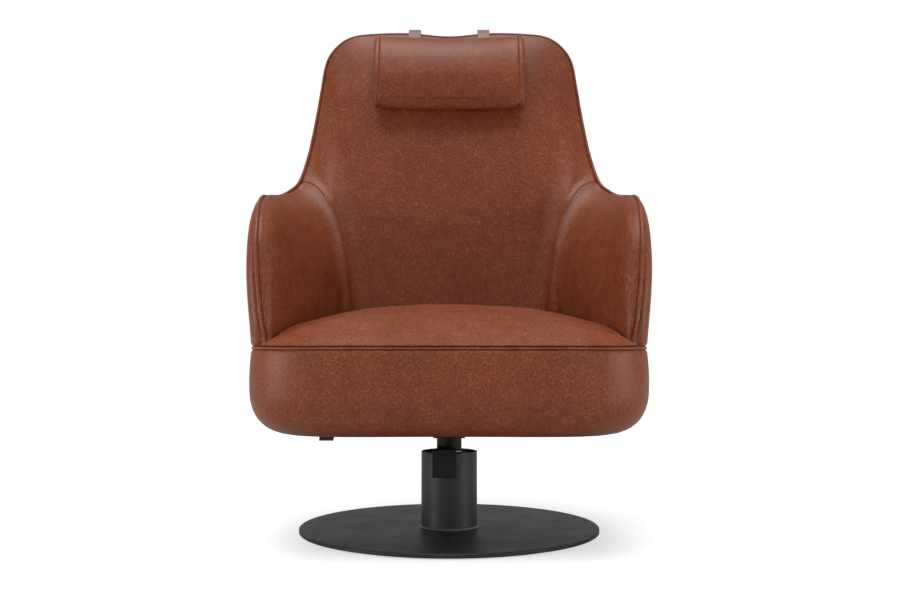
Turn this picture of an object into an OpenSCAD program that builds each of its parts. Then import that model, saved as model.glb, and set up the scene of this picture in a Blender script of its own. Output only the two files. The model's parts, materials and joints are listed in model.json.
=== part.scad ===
/* [Base] */
// Diameter of the round floor plate
disc_d = 600; // [500:5:700]
// Thickness of the floor plate
disc_t = 8; // [6:0.5:12]
// Chamfer round the edges of the floor plate
disc_chamfer = 1.2; // [0.5:0.1:2]
// Thickness of the rubber pad under the floor plate
pad_t = 3; // [2:0.5:6]
// Outside diameter of the column
column_d = 112; // [100:1:130]
// Wall of the column tube
column_wall = 5; // [3:0.5:6]
// Height of the column above the floor plate
column_h = 151; // [130:1:190]
// Width of the weld ring at the foot of the column
weld_w = 3; // [2:0.5:5]
// Thickness of the plate inside the foot of the column
foot_plate_t = 10; // [8:1:14]
// Depth of the cap below the top rim of the column
cap_recess = 5; // [3:0.5:10]

/* [Swivel] */
// Outside diameter of the swivel post
post_d = 50; // [44:1:56]
// Wall of the swivel post
post_wall = 5; // [3:0.5:8]
// Length of post that shows between the column and the tilt mechanism
post_gap = 35; // [18:1:60]
// Width of the block that brakes the swivel
brake_w = 46.5; // [36:0.5:60]
// Height of the brake block
brake_h = 56; // [44:1:80]
// Thickness of the brake block
brake_t = 14; // [10:0.5:20]
// Distance that the brake block stands above the rim of the column
brake_rise = 11.5; // [8:0.5:14]
// Sideways place of the brake block's middle
brake_x = -9.5; // [-12:0.5:12]

/* [Tilt mechanism] */
// Width of the channel that carries the tilt axle
channel_w = 62; // [62:1:90]
// Thickness of the channel's steel
channel_t = 4; // [3:0.5:5]
// Height of the tilt axle above the channel's underside
axle_rise = 16; // [14:0.5:22]
// Diameter of the tilt axle
axle_d = 12; // [10:0.5:14]
// Length of the plate under the seat
plate_l = 236; // [200:1:280]
// Width of the plate under the seat
plate_w = 220; // [180:1:260]
// Thickness of the plate under the seat
plate_t = 4; // [3:0.5:6]
// Angle that the seat tilts back
tilt_angle = 16; // [10:1:18]
// Diameter of the lock lever's rod
rod_d = 8; // [6:0.5:10]
// Distance from the seat body's side in to the outer end of the lock lever
lever_inset = 120; // [80:1:148]
// Width of the lock lever's paddle
paddle_w = 27; // [20:1:36]

/* [Seat] */
// Width of the seat body along its top seam
seat_w = 738; // [680:2:800]
// Distance from the swivel axis to the front of the top seam
seat_front = 374; // [340:2:420]
// Distance from the swivel axis to the rear of the seat body
seat_rear = 270; // [240:2:320]
// Height of the seat body from its underside to the top seam at the sides
seat_body_h = 152; // [130:1:180]
// Extra height of the top seam along the front
seam_rise = 11; // [0:1:14]
// Height of the seat's crown above the top seam at the sides
seat_crown = 82; // [60:1:110]
// Radius of the seat body's lower edge
lower_round = 88; // [60:1:100]
// Distance that the seat body swells past its top seam
seat_swell = 4; // [0:0.5:12]
// Thickness of the upholstery round the seat frame
border_t = 30; // [24:1:36]
// Thickness of the timber rails
rail_t = 35; // [24:1:45]

/* [Back and arms] */
// Height of the arms above the top seam of the seat body
arm_rise = 326; // [260:2:380]
// Height of the back above the shoulders
back_rise = 363; // [280:2:420]
// Distance that the rim of each arm stands outside the seat body's side
arm_spread = 18; // [6:1:50]
// Width of the back at half of its height
back_w = 606; // [540:2:660]
// Distance from the swivel axis back to the rim at the top
back_top_y = 332; // [280:2:380]
// Distance from the swivel axis back to the shoulders
shoulder_y = 190; // [160:2:220]
// Distance from the swivel axis forward to the front of the arms
arm_front = 288; // [270:2:296]
// Distance from the swivel axis back to the foot of the inner back
well_rear = 122; // [100:2:140]
// Thickness of each arm at its foot
arm_foot_t = 51; // [46:1:66]
// Thickness of the outer cover at its foot
cover_t = 34; // [28:1:40]
// Thickness of the moulded wooden shell at its foot
shell_t = 14; // [8:1:18]
// Diameter of the piping round the rim
rim_piping_d = 6.5; // [4:0.5:9]
// Diameter of the piping round the seat body
seat_piping_d = 4.5; // [3:0.5:5]

/* [Headrest] */
// Width of the headrest pillow
pillow_w = 330; // [260:2:400]
// Height of the headrest pillow
pillow_h = 184; // [120:2:200]
// Thickness of the headrest pillow in its middle
pillow_t = 64; // [45:1:85]
// Distance from the rim down to the pillow's top edge
pillow_drop = 20; // [18:1:80]
// Width of each strap
strap_w = 27; // [20:1:40]
// Thickness of each strap
strap_t = 2.5; // [1.5:0.25:4]
// Distance between the middles of the straps
strap_pitch = 154; // [110:2:220]

/* [Hidden] */

// Roundness of turned parts
$fn = 72;
// Length that every cut runs past the faces it leaves
overrun = 1;
// Gap between a shaft and the bore that it turns in
running_fit = 0.05;
// Gap between faces of different moving bodies
face_gap = 0.1;
// Gap that soft pieces keep from their neighbours
soft_gap = 0.4;
// Gap between a screw and its clearance hole
screw_gap = 0.5;

// Heights of the base
disc_z = pad_t;
column_z = disc_z + disc_t;
rim_z = column_z + column_h;
channel_z = rim_z + post_gap;

// Sizes inside the column
column_bore = column_d - 2 * column_wall;
pad_margin = 14;
screw_d = 8;
screw_head_d = 16;
screw_head_t = 4.5;
screw_circle_d = 72;
screw_count = 4;
screw_reach_share = 0.8;
centre_hole_d = 36;
washer_t = 2;
washer_d = 30;
bolt_d = 12;
bolt_head_d = 19;
bolt_head_t = 5;
bolt_grip = 22;
plug_h = 30;
thrust_t = 4;
bushing_wall = 4;
bushing_h = 20;
bushing_flange_t = 3;
bushing_flange_w = 3;
bearing_wall = 4;
cap_t = 6;
cap_gap = 1;
bearing_z = column_z + foot_plate_t;
post_z = bearing_z + thrust_t + face_gap;
bushing_id = post_d + 2 * running_fit;
bushing_od = bushing_id + 2 * bushing_wall;
bearing_id = bushing_od;
bearing_od = bearing_id + 2 * bearing_wall;
cap_z = rim_z - cap_recess - cap_t;
bearing_top = cap_z - bushing_flange_t;

// Sizes of the swivel brake
brake_arm_w = 30;
brake_arm_gap = 1.5;
lining_t = 3;
lining_gap = 0.3;
lining_margin = 4;
brake_screw_d = 6;
brake_screw_drop = 4.6;
brake_screw_l = 10;
brake_back_y = -(column_d / 2 + lining_gap + lining_t);
brake_top = rim_z + brake_rise;

// Sizes of the tilt mechanism
channel_front = 96;
channel_rear = 58;
channel_rear_h = 9;
cheek_drop = 5;
lug_t = 5;
lug_gap = 2;
lug_wall = 3.6;
axle_overhang = 6;
ring_t = 1.5;
ring_w = 3;
axle_bush_wall = 2;
axle_flange_t = 1.6;
spring_d = 23;
spring_foot_l = 16;
spring_gap = 1;
buffer_l = 14;
buffer_w = 40;
buffer_inset = 4;
axle_z = channel_z + axle_rise;
plate_rise = 15;
plate_z = axle_z + plate_rise;
plate_top = plate_z + plate_t;
plate_front_share = 0.55;
plate_front = plate_l * plate_front_share;
plate_bolt_inset = 26;
plate_bolt_x = plate_w / 2 - plate_bolt_inset;
seat_bolt_d = 8;
seat_bolt_head_d = 15;
seat_bolt_head_t = 5;
seat_bolt_grip = 28;

// Sizes of the lock lever
lever_y = -76;
lever_drop = 18;
lever_z = plate_z - lever_drop;
lever_bracket_t = 4;
lever_bracket_w = 18;
lever_bracket_gap = 17;
lever_bracket_inset = 6;
lever_bracket_inner = channel_w / 2 + lever_bracket_gap;
lever_bracket_outer = plate_w / 2 - lever_bracket_inset;
lever_bracket_drop = 8;
cam_t = 4;
cam_d = 15;
cam_lining_t = 2;
cam_gap = 0.3;
cam_x = channel_w / 2 + cam_gap;
paddle_l = 52;
paddle_t = 9;
paddle_tip_t = 5;
paddle_droop = 12;
paddle_wall = 3.5;

// Heights of the seat
seat_lift = -8;
seat_z = plate_z + seat_lift;
seam_z = seat_z + seat_body_h;
crown_z = seam_z + seat_crown;
plan_y = -30;
seat_half = seat_w / 2;
lever_reach = seat_half - lever_inset;
front_reach = seat_front + plan_y;
rear_reach = seat_rear - plan_y;
front_square = 5;
rear_square = 2.8;
lower_square = 2.5;
crown_square = 4.5;
crown_power = 3.1;
seam_power = 6;
skin_t = 3.5;
lip_w = 20;
waist_share = 0.4;
waist_swell_share = 0.8;
lip_share = 1.4;
inner_share = 0.4;
inner_drop_share = 3;

// Heights up the border's lower round, and insets of the cushion's rows from its middle
round_shares = [0, 0.35, 0.58, 0.76, 0.88, 0.96, 1];
crown_shares = [0.12, 0.35, 0.55, 0.7, 0.82, 0.91, 0.97, 1];
cushion_clear = 1.2;
piping_clear = 0.6;
rail_gap = 1;
rail_lift = 30;
rail_z = plate_top + rail_lift;
front_rail_angle = 130;
rear_rail_angle = 45;
cross_rail_w = 50;
cross_rail_y = [-92, 66];
cross_rail_end_share = 0.9;
cross_rail_edge_share = 0.1;
cross_rail_foot_share = 2.8;
dust_t = 1.5;
webbing_t = 2;
webbing_w = 60;
webbing_drop = 20;
webbing_y = [-215, -135, -55, 25, 105];
edge_t = 5;
corner_gap = 8;
corner_power = 12;
plan_step = 5;
plan_angles = [for (a = [0 : plan_step : 360 - plan_step]) a];

// Heights and widths of the back and arms
shoulder_z = seam_z + arm_rise;
rim_top_z = shoulder_z + back_rise;
arm_half = seat_half + arm_spread;
back_half = back_w / 2;
well_half = seat_half - arm_foot_t;
rim_gap = rim_piping_d / 2 + soft_gap;
seam_station = 9;
last_station = 20;

// Rim of the back and arms, from the middle of the back to the foot of an arm, as shares:
// of half the back's width, half the arms' width, the way from arm front to shoulder,
// the way from shoulder to back top, the arms' rise and the back's rise
rim_shares = [
    [0, 0, 1, 1, 1, 0.988],
    [0.31, 0, 1, 1, 1, 0.996],
    [0.585, 0, 1, 1, 1, 1],
    [0.725, 0, 1, 0.99, 1, 0.98],
    [0.825, 0, 1, 0.97, 1, 0.925],
    [0.9, 0, 1, 0.91, 1, 0.825],
    [0.936, 0, 1, 0.81, 1, 0.65],
    [0.894, 0.06, 1, 0.66, 1, 0.445],
    [0.632, 0.3, 1, 0.46, 1, 0.235],
    [0.3, 0.604, 1, 0.22, 1, 0.066],
    [0, 0.889, 0.985, 0, 0.995, 0],
    [0, 0.92, 0.85, 0, 0.958, 0],
    [0, 0.938, 0.665, 0, 0.936, 0],
    [0, 0.941, 0.48, 0, 0.9125, 0],
    [0, 0.932, 0.295, 0, 0.857, 0],
    [0, 0.918, 0.157, 0, 0.768, 0],
    [0, 0.91, 0.07, 0, 0.62, 0],
    [0, 0.901, 0.035, 0, 0.46, 0],
    [0, 0.888, 0.016, 0, 0.305, 0],
    [0, 0.873, 0.006, 0, 0.16, 0],
    [0, 0.858, 0.01, 0, 0.07, 0]];

// Outer foot of the shell, as angles round the seat body from the middle of the back
foot_angles = [0, 12, 22, 29, 34.5, 40, 45.5, 51.5, 58, 65, 72, 81.5, 92, 101.5, 109.5, 115.5, 119.5,
    121.8, 123.3, 124.5, 125.4];

// Inner foot of the shell, as shares of half the well's width and of the way from arm front to well rear
well_shares = [
    [0, 1], [0.142, 0.999], [0.277, 0.995], [0.346, 0.991], [0.403, 0.987], [0.456, 0.982], [0.512, 0.975],
    [0.566, 0.965], [0.61, 0.953], [0.642, 0.934], [0.698, 0.878], [0.764, 0.752], [0.824, 0.593],
    [0.868, 0.446], [0.906, 0.312], [0.932, 0.215], [0.95, 0.147], [0.962, 0.108], [0.97, 0.08],
    [0.98, 0.055], [1, 0.02]];

// Swell of the outer side at each station: its direction in degrees from straight back, then shares of
// the back's swell and the arms' swell, and shares of the section's height
outer_shares = [
    [0, 1, 0, 0.037, 0.27], [2, 1, 0, 0.037, 0.27], [5, 0.9, 0.04, 0.037, 0.27], [10, 0.74, 0.1, 0.04, 0.27],
    [18, 0.58, 0.2, 0.045, 0.275], [28, 0.44, 0.32, 0.05, 0.28], [36, 0.32, 0.45, 0.06, 0.29],
    [44, 0.2, 0.6, 0.07, 0.3], [54, 0.1, 0.5, 0.09, 0.32], [66, 0.04, 0.4, 0.11, 0.34],
    [78, 0, 0.45, 0.125, 0.36], [86, 0, 0.75, 0.13, 0.37], [90, 0, 1, 0.13, 0.37], [90, 0, 1, 0.13, 0.37],
    [92, 0, 0.98, 0.13, 0.37], [95, 0, 0.92, 0.13, 0.37], [98, 0, 0.8, 0.12, 0.37], [100, 0, 0.66, 0.1, 0.37],
    [102, 0, 0.5, 0.08, 0.37], [104, 0, 0.32, 0.05, 0.37], [106, 0, 0.12, 0, 0.37]];
back_swell = 102;
arm_swell = 31;
foot_swell_share = 0.15;

// Roll of the inner side at each station: its direction in degrees from straight forward, then shares of
// the roll's depth and lift, the lean at the foot and the height of the foot's control
inner_shares = [
    [0, 0.9, 1, 1, 0.245], [0, 0.9, 1, 1, 0.245], [2, 0.84, 0.8, 0.98, 0.245], [5, 0.75, 0.55, 0.95, 0.25],
    [8, 0.68, 0.35, 0.93, 0.255], [12, 0.63, 0.18, 0.9, 0.26], [18, 0.6, 0.05, 0.86, 0.27],
    [28, 0.63, 0.02, 0.6, 0.3], [45, 0.76, 0.12, 0.25, 0.38], [68, 1.04, 0.3, -0.12, 0.47],
    [76, 0.97, 0.55, -0.15, 0.47], [82, 0.88, 0.78, -0.1, 0.46], [88, 0.8, 0.85, 0, 0.45],
    [90, 0.77, 0.85, 0, 0.45], [88, 0.74, 0.85, 0, 0.45], [80, 0.66, 0.7, 0, 0.44], [72, 0.54, 0.25, 0, 0.42],
    [66, 0.46, 0.06, 0, 0.4], [62, 0.38, 0, 0, 0.38], [60, 0.28, 0, 0, 0.36], [58, 0.12, 0, 0, 0.34]];
roll_depth = 81;
roll_lift = 4;
foot_lean = 43;
least_pad_t = 44;
seam_clear_share = 0.02;

// Rows of points up each section, from foot to rim, and where the wooden shell ends
row_shares = [0, 0.13, 0.26, 0.39, 0.52, 0.64, 0.75, 0.84, 0.91, 0.96, 1];
shell_rows = 8;
rim_row = len(row_shares) - 1;
piping_sides = 6;

// Sizes of the headrest
pillow_edge = 40;
pillow_wrap = 6;
pillow_clear = 5.4;
pillow_points = 40;
pillow_power = 4.2;
pillow_top_share = 0.86;
pillow_low_share = 0.68;

// Rows of the pillow from its back to its front, as shares: of its outline, its edge's thickness and its crown
pillow_shares = [
    [0.15, 0, 0], [0.7, 0, 0], [0.92, 0, 0.03], [0.985, 0.12, 0], [1, 0.5, 0], [0.99, 0.85, 0], [0.93, 1, 0.1],
    [0.8, 1, 0.45], [0.6, 1, 0.75], [0.35, 1, 0.95], [0.12, 1, 1]];

// Sizes of the straps
strap_lift = 0.7;
strap_station = 0.81;
strap_top_share = 0.96;
strap_front_share = 0.64;
strap_rear_share = 0.62;
strap_power = 14;
strap_count = 9;
strap_ahead = 0.01;
strap_loop = 5;

// Sizes of the weight
pouch_w = 200;
pouch_h = 76;
pouch_t = 16;
pouch_wall = 3;
pouch_corner = 12;
bar_gap = 0.5;
pouch_share = 0.66;
pouch_gap = 0.5;
pouch_slope_share = 0.06;

// Value of a table of rows at a station that may lie between two rows
function between(table, s) =
    let (i = min(floor(s), len(table) - 2), f = s - i)
    table[i] * (1 - f) + table[i + 1] * f;

function flat(rows) = [for (row = rows) each row];
function unit(v) = v / norm(v);
function mirrored(p) = [-p[0], p[1], p[2]];

// Point of a curve with four controls
function curve(a, b, c, d, t) =
    a * pow(1 - t, 3) + b * 3 * t * pow(1 - t, 2) + c * 3 * t * t * (1 - t) + d * pow(t, 3);

// Plan of the seat body: distance from its middle to the top seam, by angle from straight back
function plan_reach(a) =
    let (back = cos(a) > 0, n = back ? rear_square : front_square, d = back ? rear_reach : front_reach)
    pow(pow(abs(sin(a)) / seat_half, n) + pow(abs(cos(a)) / d, n), -1 / n);
function plan_point(a, inset) =
    let (r = plan_reach(a) - inset)
    [r * sin(a), plan_y + r * cos(a)];
function seam_height(a) = seam_z + (cos(a) < 0 ? seam_rise * (1 - pow(abs(sin(a)), seam_power)) : 0);

function foot_height(p) = seam_height(atan2(p[0], p[1] - plan_y)) + soft_gap;

// Height of the seat's crown over a point of the plan
function crown_height(p) =
    let (
        sx = abs(p[0]) / seat_half,
        sy = max(0, plan_y - p[1]) / front_reach,
        reach = min(1, pow(pow(sx, crown_square) + pow(sy, crown_square), 1 / crown_square)),
        edge = seam_height(atan2(p[0], p[1] - plan_y)) + edge_t
    )
    crown_z - (crown_z - edge) * pow(reach, crown_power);

// Rim, feet and curve controls of the shell's section at a station
function rim_point(s) =
    let (k = between(rim_shares, s))
    [
        k[0] * back_half + k[1] * arm_half,
        -arm_front + k[2] * (arm_front + shoulder_y) + k[3] * (back_top_y - shoulder_y),
        seam_z + k[4] * arm_rise + k[5] * back_rise
    ];
function outer_foot(s) =
    let (p = plan_point(between([for (a = foot_angles) [a]], s)[0], 0))
    [p[0], p[1], foot_height(p)];
function inner_foot(s) =
    let (k = between(well_shares, s), p = [k[0] * well_half, -arm_front + k[1] * (arm_front + well_rear)])
    [p[0], p[1], foot_height(p)];
function outer_side(s) = let (a = between(outer_shares, s)[0]) [sin(a), cos(a), 0];
function inner_side(s) = let (a = between(inner_shares, s)[0]) [-sin(a), -cos(a), 0];
function rim_side(s) = unit(outer_side(s) - inner_side(s));
function outer_curve(s, t) =
    let (
        k = between(outer_shares, s),
        side = outer_side(s),
        swell = k[1] * back_swell + k[2] * arm_swell,
        foot = outer_foot(s),
        rim = rim_point(s) + rim_side(s) * rim_gap,
        rise = [0, 0, rim[2] - foot[2]]
    )
    curve(foot, foot + side * swell * foot_swell_share + rise * k[4], rim + side * swell - rise * k[3], rim, t);
function inner_curve(s, t) =
    let (
        k = between(inner_shares, s),
        side = inner_side(s),
        foot = inner_foot(s),
        rim = rim_point(s) - rim_side(s) * rim_gap,
        rise = [0, 0, rim[2] - foot[2]],
        roll = side * k[1] * roll_depth + [0, 0, k[2] * roll_lift]
    )
    curve(foot, foot - side * k[3] * foot_lean + rise * k[4], rim + roll, rim, t);

// Point of the shell at a signed station, a share of the height and a depth from the outside
function shell_point(s, t, w) =
    let (p = outer_curve(abs(s), t) * (1 - w) + inner_curve(abs(s), t) * w)
    s < 0 ? mirrored(p) : p;
function depth_share(s, depth) =
    depth / max(norm(outer_foot(abs(s)) - inner_foot(abs(s))), cover_t + shell_t + least_pad_t);

// Closed solid between two sheets of points with the same rows and columns
module sheet_solid(low, high) {
    m = len(low);
    n = len(low[0]);
    function at(layer, i, j) = layer * m * n + i * n + j;
    polyhedron(
        points = concat(flat(low), flat(high)),
        faces = flat([
            [for (i = [0 : m - 2], j = [0 : n - 2]) each
                [[at(0, i, j), at(0, i + 1, j + 1), at(0, i, j + 1)],
                 [at(0, i, j), at(0, i + 1, j), at(0, i + 1, j + 1)],
                 [at(1, i, j), at(1, i, j + 1), at(1, i + 1, j + 1)],
                 [at(1, i, j), at(1, i + 1, j + 1), at(1, i + 1, j)]]],
            [for (j = [0 : n - 2]) each
                [[at(0, 0, j), at(1, 0, j + 1), at(1, 0, j)],
                 [at(0, 0, j), at(0, 0, j + 1), at(1, 0, j + 1)],
                 [at(0, m - 1, j), at(1, m - 1, j), at(1, m - 1, j + 1)],
                 [at(0, m - 1, j), at(1, m - 1, j + 1), at(0, m - 1, j + 1)]]],
            [for (i = [0 : m - 2]) each
                [[at(0, i, 0), at(1, i + 1, 0), at(0, i + 1, 0)],
                 [at(0, i, 0), at(1, i, 0), at(1, i + 1, 0)],
                 [at(0, i, n - 1), at(0, i + 1, n - 1), at(1, i + 1, n - 1)],
                 [at(0, i, n - 1), at(1, i + 1, n - 1), at(1, i, n - 1)]]]
        ])
    );
}

// Solid swept through rings of points; a closed sweep joins its last ring to its first
module ring_solid(rings, closed) {
    m = len(rings);
    n = len(rings[0]);
    last = closed ? m - 1 : m - 2;
    function at(i, j) = (i % m) * n + j % n;
    polyhedron(
        points = flat(rings),
        faces = concat(
            [for (i = [0 : last], j = [0 : n - 1]) each
                [[at(i, j), at(i, j + 1), at(i + 1, j + 1)], [at(i, j), at(i + 1, j + 1), at(i + 1, j)]]],
            closed ? [] : [[for (j = [n - 1 : -1 : 0]) at(0, j)], [for (j = [0 : n - 1]) at(m - 1, j)]]
        )
    );
}

// Rings of a round tube along a path
function tube_rings(path, d, sides, closed) =
    let (m = len(path))
    [for (i = [0 : m - 1])
        let (
            ahead = path[closed ? (i + 1) % m : min(i + 1, m - 1)],
            behind = path[closed ? (i + m - 1) % m : max(i - 1, 0)],
            along = unit(ahead - behind),
            across = unit(cross(along, abs(along[2]) > 0.9 ? [0, 1, 0] : [0, 0, 1])),
            up = cross(across, along)
        )
        [for (k = [0 : sides - 1])
            let (a = k * 360 / sides)
            path[i] + (across * cos(a) + up * sin(a)) * d / 2]];

// Solid ring with a bore
module ring(outer_d, inner_d, h) {
    difference() {
        cylinder(d = outer_d, h = h);
        translate([0, 0, -overrun]) cylinder(d = inner_d, h = h + 2 * overrun);
    }
}

// Flat plate with round corners, standing up behind the origin
module round_plate(w, h, t, r) {
    rotate([90, 0, 0]) translate([0, 0, -t]) linear_extrude(t) {
        square([w - 2 * r, h], center = true);
        square([w, h - 2 * r], center = true);
        for (x = [-1, 1], z = [-1, 1]) translate([x * (w / 2 - r), z * (h / 2 - r)]) circle(r);
    }
}

// Base

module floor_pad() {
    color("#1b1b1c") cylinder(d = disc_d - 2 * pad_margin, h = pad_t);
}

module base_disc() {
    half = disc_d / 2;
    sink = screw_head_t + overrun;
    color("#232425") difference() {
        translate([0, 0, disc_z]) rotate_extrude($fn = 144)
            polygon([
                [centre_hole_d / 2, 0], [half - disc_chamfer, 0], [half, disc_chamfer],
                [half, disc_t - disc_chamfer], [half - disc_chamfer, disc_t], [centre_hole_d / 2, disc_t]]);
        at_screws() translate([0, 0, disc_z - overrun]) cylinder(d = screw_head_d + screw_gap, h = sink);
        at_screws() translate([0, 0, disc_z]) cylinder(d = screw_d + screw_gap, h = disc_t + overrun);
    }
}

module at_screws() {
    for (a = [0 : 360 / screw_count : 359]) rotate(a) translate([screw_circle_d / 2, 0, 0]) children();
}

module base_screws() {
    color("#8d8f92") at_screws() translate([0, 0, disc_z]) {
        cylinder(d = screw_head_d, h = screw_head_t);
        cylinder(d = screw_d, h = disc_t + foot_plate_t * screw_reach_share);
    }
}

module foot_plate() {
    color("#2a2b2c") difference() {
        translate([0, 0, column_z]) cylinder(d = column_bore, h = foot_plate_t);
        translate([0, 0, column_z - overrun])
            cylinder(d = bolt_d + screw_gap, h = foot_plate_t + 2 * overrun);
        at_screws() translate([0, 0, column_z - overrun])
            cylinder(d = screw_d, h = foot_plate_t * screw_reach_share + overrun);
    }
}

module column_tube() {
    color("#1d1e1f") translate([0, 0, column_z]) ring(column_d, column_bore, column_h);
}

module column_weld() {
    half = column_d / 2;
    color("#4a4b4c") translate([0, 0, column_z]) rotate_extrude()
        polygon([[half, 0], [half + weld_w, 0], [half, weld_w]]);
}

module bearing_tube() {
    color("#2a2b2c") translate([0, 0, bearing_z]) ring(bearing_od, bearing_id, bearing_top - bearing_z);
}

module lower_bushing() {
    color("#d8d4c4") translate([0, 0, bearing_z + thrust_t]) ring(bushing_od, bushing_id, bushing_h);
}

module upper_bushing() {
    color("#d8d4c4") {
        translate([0, 0, bearing_top - bushing_h]) ring(bushing_od, bushing_id, bushing_h);
        translate([0, 0, bearing_top]) ring(bushing_od + 2 * bushing_flange_w, bushing_id, bushing_flange_t);
    }
}

module thrust_washer() {
    color("#d8d4c4") translate([0, 0, bearing_z]) ring(post_d, bolt_d + 2 * screw_gap, thrust_t);
}

module column_cap() {
    color("#161617") translate([0, 0, cap_z]) ring(column_bore, post_d + 2 * cap_gap, cap_t);
}

// Swivel

module swivel_post() {
    color("#1d1e1f") difference() {
        translate([0, 0, post_z]) cylinder(d = post_d, h = channel_z - post_z);
        translate([0, 0, post_z + plug_h]) cylinder(d = post_d - 2 * post_wall, h = channel_z - post_z);
        translate([0, 0, post_z - overrun]) cylinder(d = bolt_d, h = bolt_grip + overrun);
    }
}

module retaining_bolt() {
    head_z = column_z - face_gap - washer_t - bolt_head_t;
    color("#8d8f92") {
        translate([0, 0, head_z]) cylinder(d = bolt_head_d, h = bolt_head_t, $fn = 6);
        translate([0, 0, head_z]) cylinder(d = bolt_d, h = post_z + bolt_grip - head_z);
    }
}

module retaining_washer() {
    color("#8d8f92") translate([0, 0, column_z - face_gap - washer_t]) ring(washer_d, bolt_d, washer_t);
}

module brake_bracket() {
    z = rim_z + brake_arm_gap;
    color("#232425") difference() {
        translate([brake_x - brake_arm_w / 2, brake_back_y, z])
            cube([brake_arm_w, -brake_back_y, brake_top - z]);
        translate([0, 0, z - overrun]) cylinder(d = post_d, h = brake_top - z + 2 * overrun);
    }
}

module brake_block() {
    chamfer = brake_t / 7;
    color("#1a1a1b") translate([brake_x, brake_back_y, brake_top - brake_h]) rotate([90, 0, 90])
        translate([0, 0, -brake_w / 2]) linear_extrude(brake_w)
            polygon([
                [0, 0], [-brake_t + chamfer, 0], [-brake_t, chamfer], [-brake_t, brake_h - chamfer],
                [-brake_t + chamfer, brake_h], [0, brake_h]]);
}

module brake_lining() {
    h = brake_h - brake_rise - lining_margin;
    z = brake_top - brake_h;
    color("#3a3632") difference() {
        translate([brake_x - brake_w / 2 + lining_margin, brake_back_y, z])
            cube([brake_w - 2 * lining_margin, column_d / 2, h]);
        translate([0, 0, z - overrun]) cylinder(d = column_d + 2 * lining_gap, h = h + 2 * overrun);
        translate([brake_x - brake_w, brake_back_y + column_d / 4, z - overrun])
            cube([2 * brake_w, column_d, h + 2 * overrun]);
    }
}

module brake_screw() {
    x = brake_x + brake_w / 2;
    color("#9a9c9e") translate([x, brake_back_y - brake_t / 2, brake_top - brake_screw_drop]) rotate([0, 90, 0])
        difference() {
            cylinder(d = brake_screw_d, h = brake_screw_l);
            translate([0, 0, brake_screw_l / 2]) cylinder(d = brake_screw_d / 2, h = brake_screw_l, $fn = 6);
        }
}

// Tilt mechanism

module tilt_channel() {
    cheek_h = plate_z - channel_z - cheek_drop;
    ramp = axle_d;
    color("#1f2021") difference() {
        union() {
            translate([-channel_w / 2, -channel_front, channel_z])
                cube([channel_w, channel_front + channel_rear, channel_t]);
            for (x = [-channel_w / 2, channel_w / 2 - channel_t])
                translate([x, 0, channel_z]) rotate([90, 0, 90]) linear_extrude(channel_t)
                    polygon([
                        [-channel_front, 0], [channel_rear, 0], [channel_rear, channel_rear_h],
                        [ramp, cheek_h], [-channel_front, cheek_h]]);
        }
        translate([0, 0, axle_z]) rotate([0, 90, 0]) cylinder(d = axle_d, h = 2 * channel_w, center = true);
    }
}

module tilt_axle() {
    color("#8d8f92") translate([0, 0, axle_z]) rotate([0, 90, 0])
        cylinder(d = axle_d, h = channel_w + 2 * axle_overhang, center = true);
}

module axle_rings() {
    color("#5c5e60") for (side = [-1, 1]) translate([side * (channel_w / 2 + ring_t / 2), 0, axle_z])
        rotate([0, 90, 0]) translate([0, 0, -ring_t / 2]) ring(axle_d + 2 * ring_w, axle_d, ring_t);
}

module tilt_spring() {
    lug_x = channel_w / 2 - channel_t - lug_gap - lug_t;
    half = lug_x - spring_gap;
    floor_z = channel_z + channel_t;
    color("#19191a") difference() {
        union() {
            translate([-half, 0, axle_z]) rotate([0, 90, 0]) cylinder(d = spring_d, h = 2 * half);
            translate([-half, -spring_foot_l / 2, floor_z]) cube([2 * half, spring_foot_l, axle_z - floor_z]);
        }
        translate([0, 0, axle_z]) rotate([0, 90, 0]) cylinder(d = axle_d, h = 2 * channel_w, center = true);
    }
}

module front_buffer() {
    z = channel_z + channel_t;
    color("#19191a") translate([-buffer_w / 2, -channel_front + buffer_inset, z])
        cube([buffer_w, buffer_l, plate_z - face_gap - z]);
}

// Height of the seat plate's underside at a distance behind the axle when the seat is tilted right back
function tilted_plate(y) =
    axle_z + (plate_z - axle_z) / cos(tilt_angle) - y * tan(tilt_angle);

module rear_buffer() {
    z = channel_z + channel_t;
    front = channel_rear - buffer_inset - buffer_l;
    rear = front + buffer_l;
    color("#19191a") rotate([90, 0, 90]) translate([0, 0, -buffer_w / 2]) linear_extrude(buffer_w)
        polygon([
            [front, z], [rear, z], [rear, tilted_plate(rear) - soft_gap],
            [front, tilted_plate(front) - soft_gap]]);
}

module seat_plate() {
    lug_x = channel_w / 2 - channel_t - lug_gap - lug_t;
    lug_half = axle_d / 2 + axle_bush_wall + lug_wall;
    color("#1f2021") difference() {
        union() {
            translate([-plate_w / 2, -plate_front, plate_z]) cube([plate_w, plate_l, plate_t]);
            for (side = [0, 1]) mirror([side, 0, 0]) {
                translate([lug_x, -lug_half, axle_z])
                    cube([lug_t, 2 * lug_half, plate_z + plate_t / 2 - axle_z]);
                translate([lug_x, 0, axle_z]) rotate([0, 90, 0]) cylinder(r = lug_half, h = lug_t);
            }
        }
        translate([0, 0, axle_z]) rotate([0, 90, 0])
            cylinder(d = axle_d + 2 * axle_bush_wall, h = channel_w, center = true);
        at_seat_bolts() translate([0, 0, plate_z - overrun])
            cylinder(d = seat_bolt_d + screw_gap, h = plate_t + 2 * overrun);
    }
}

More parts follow.
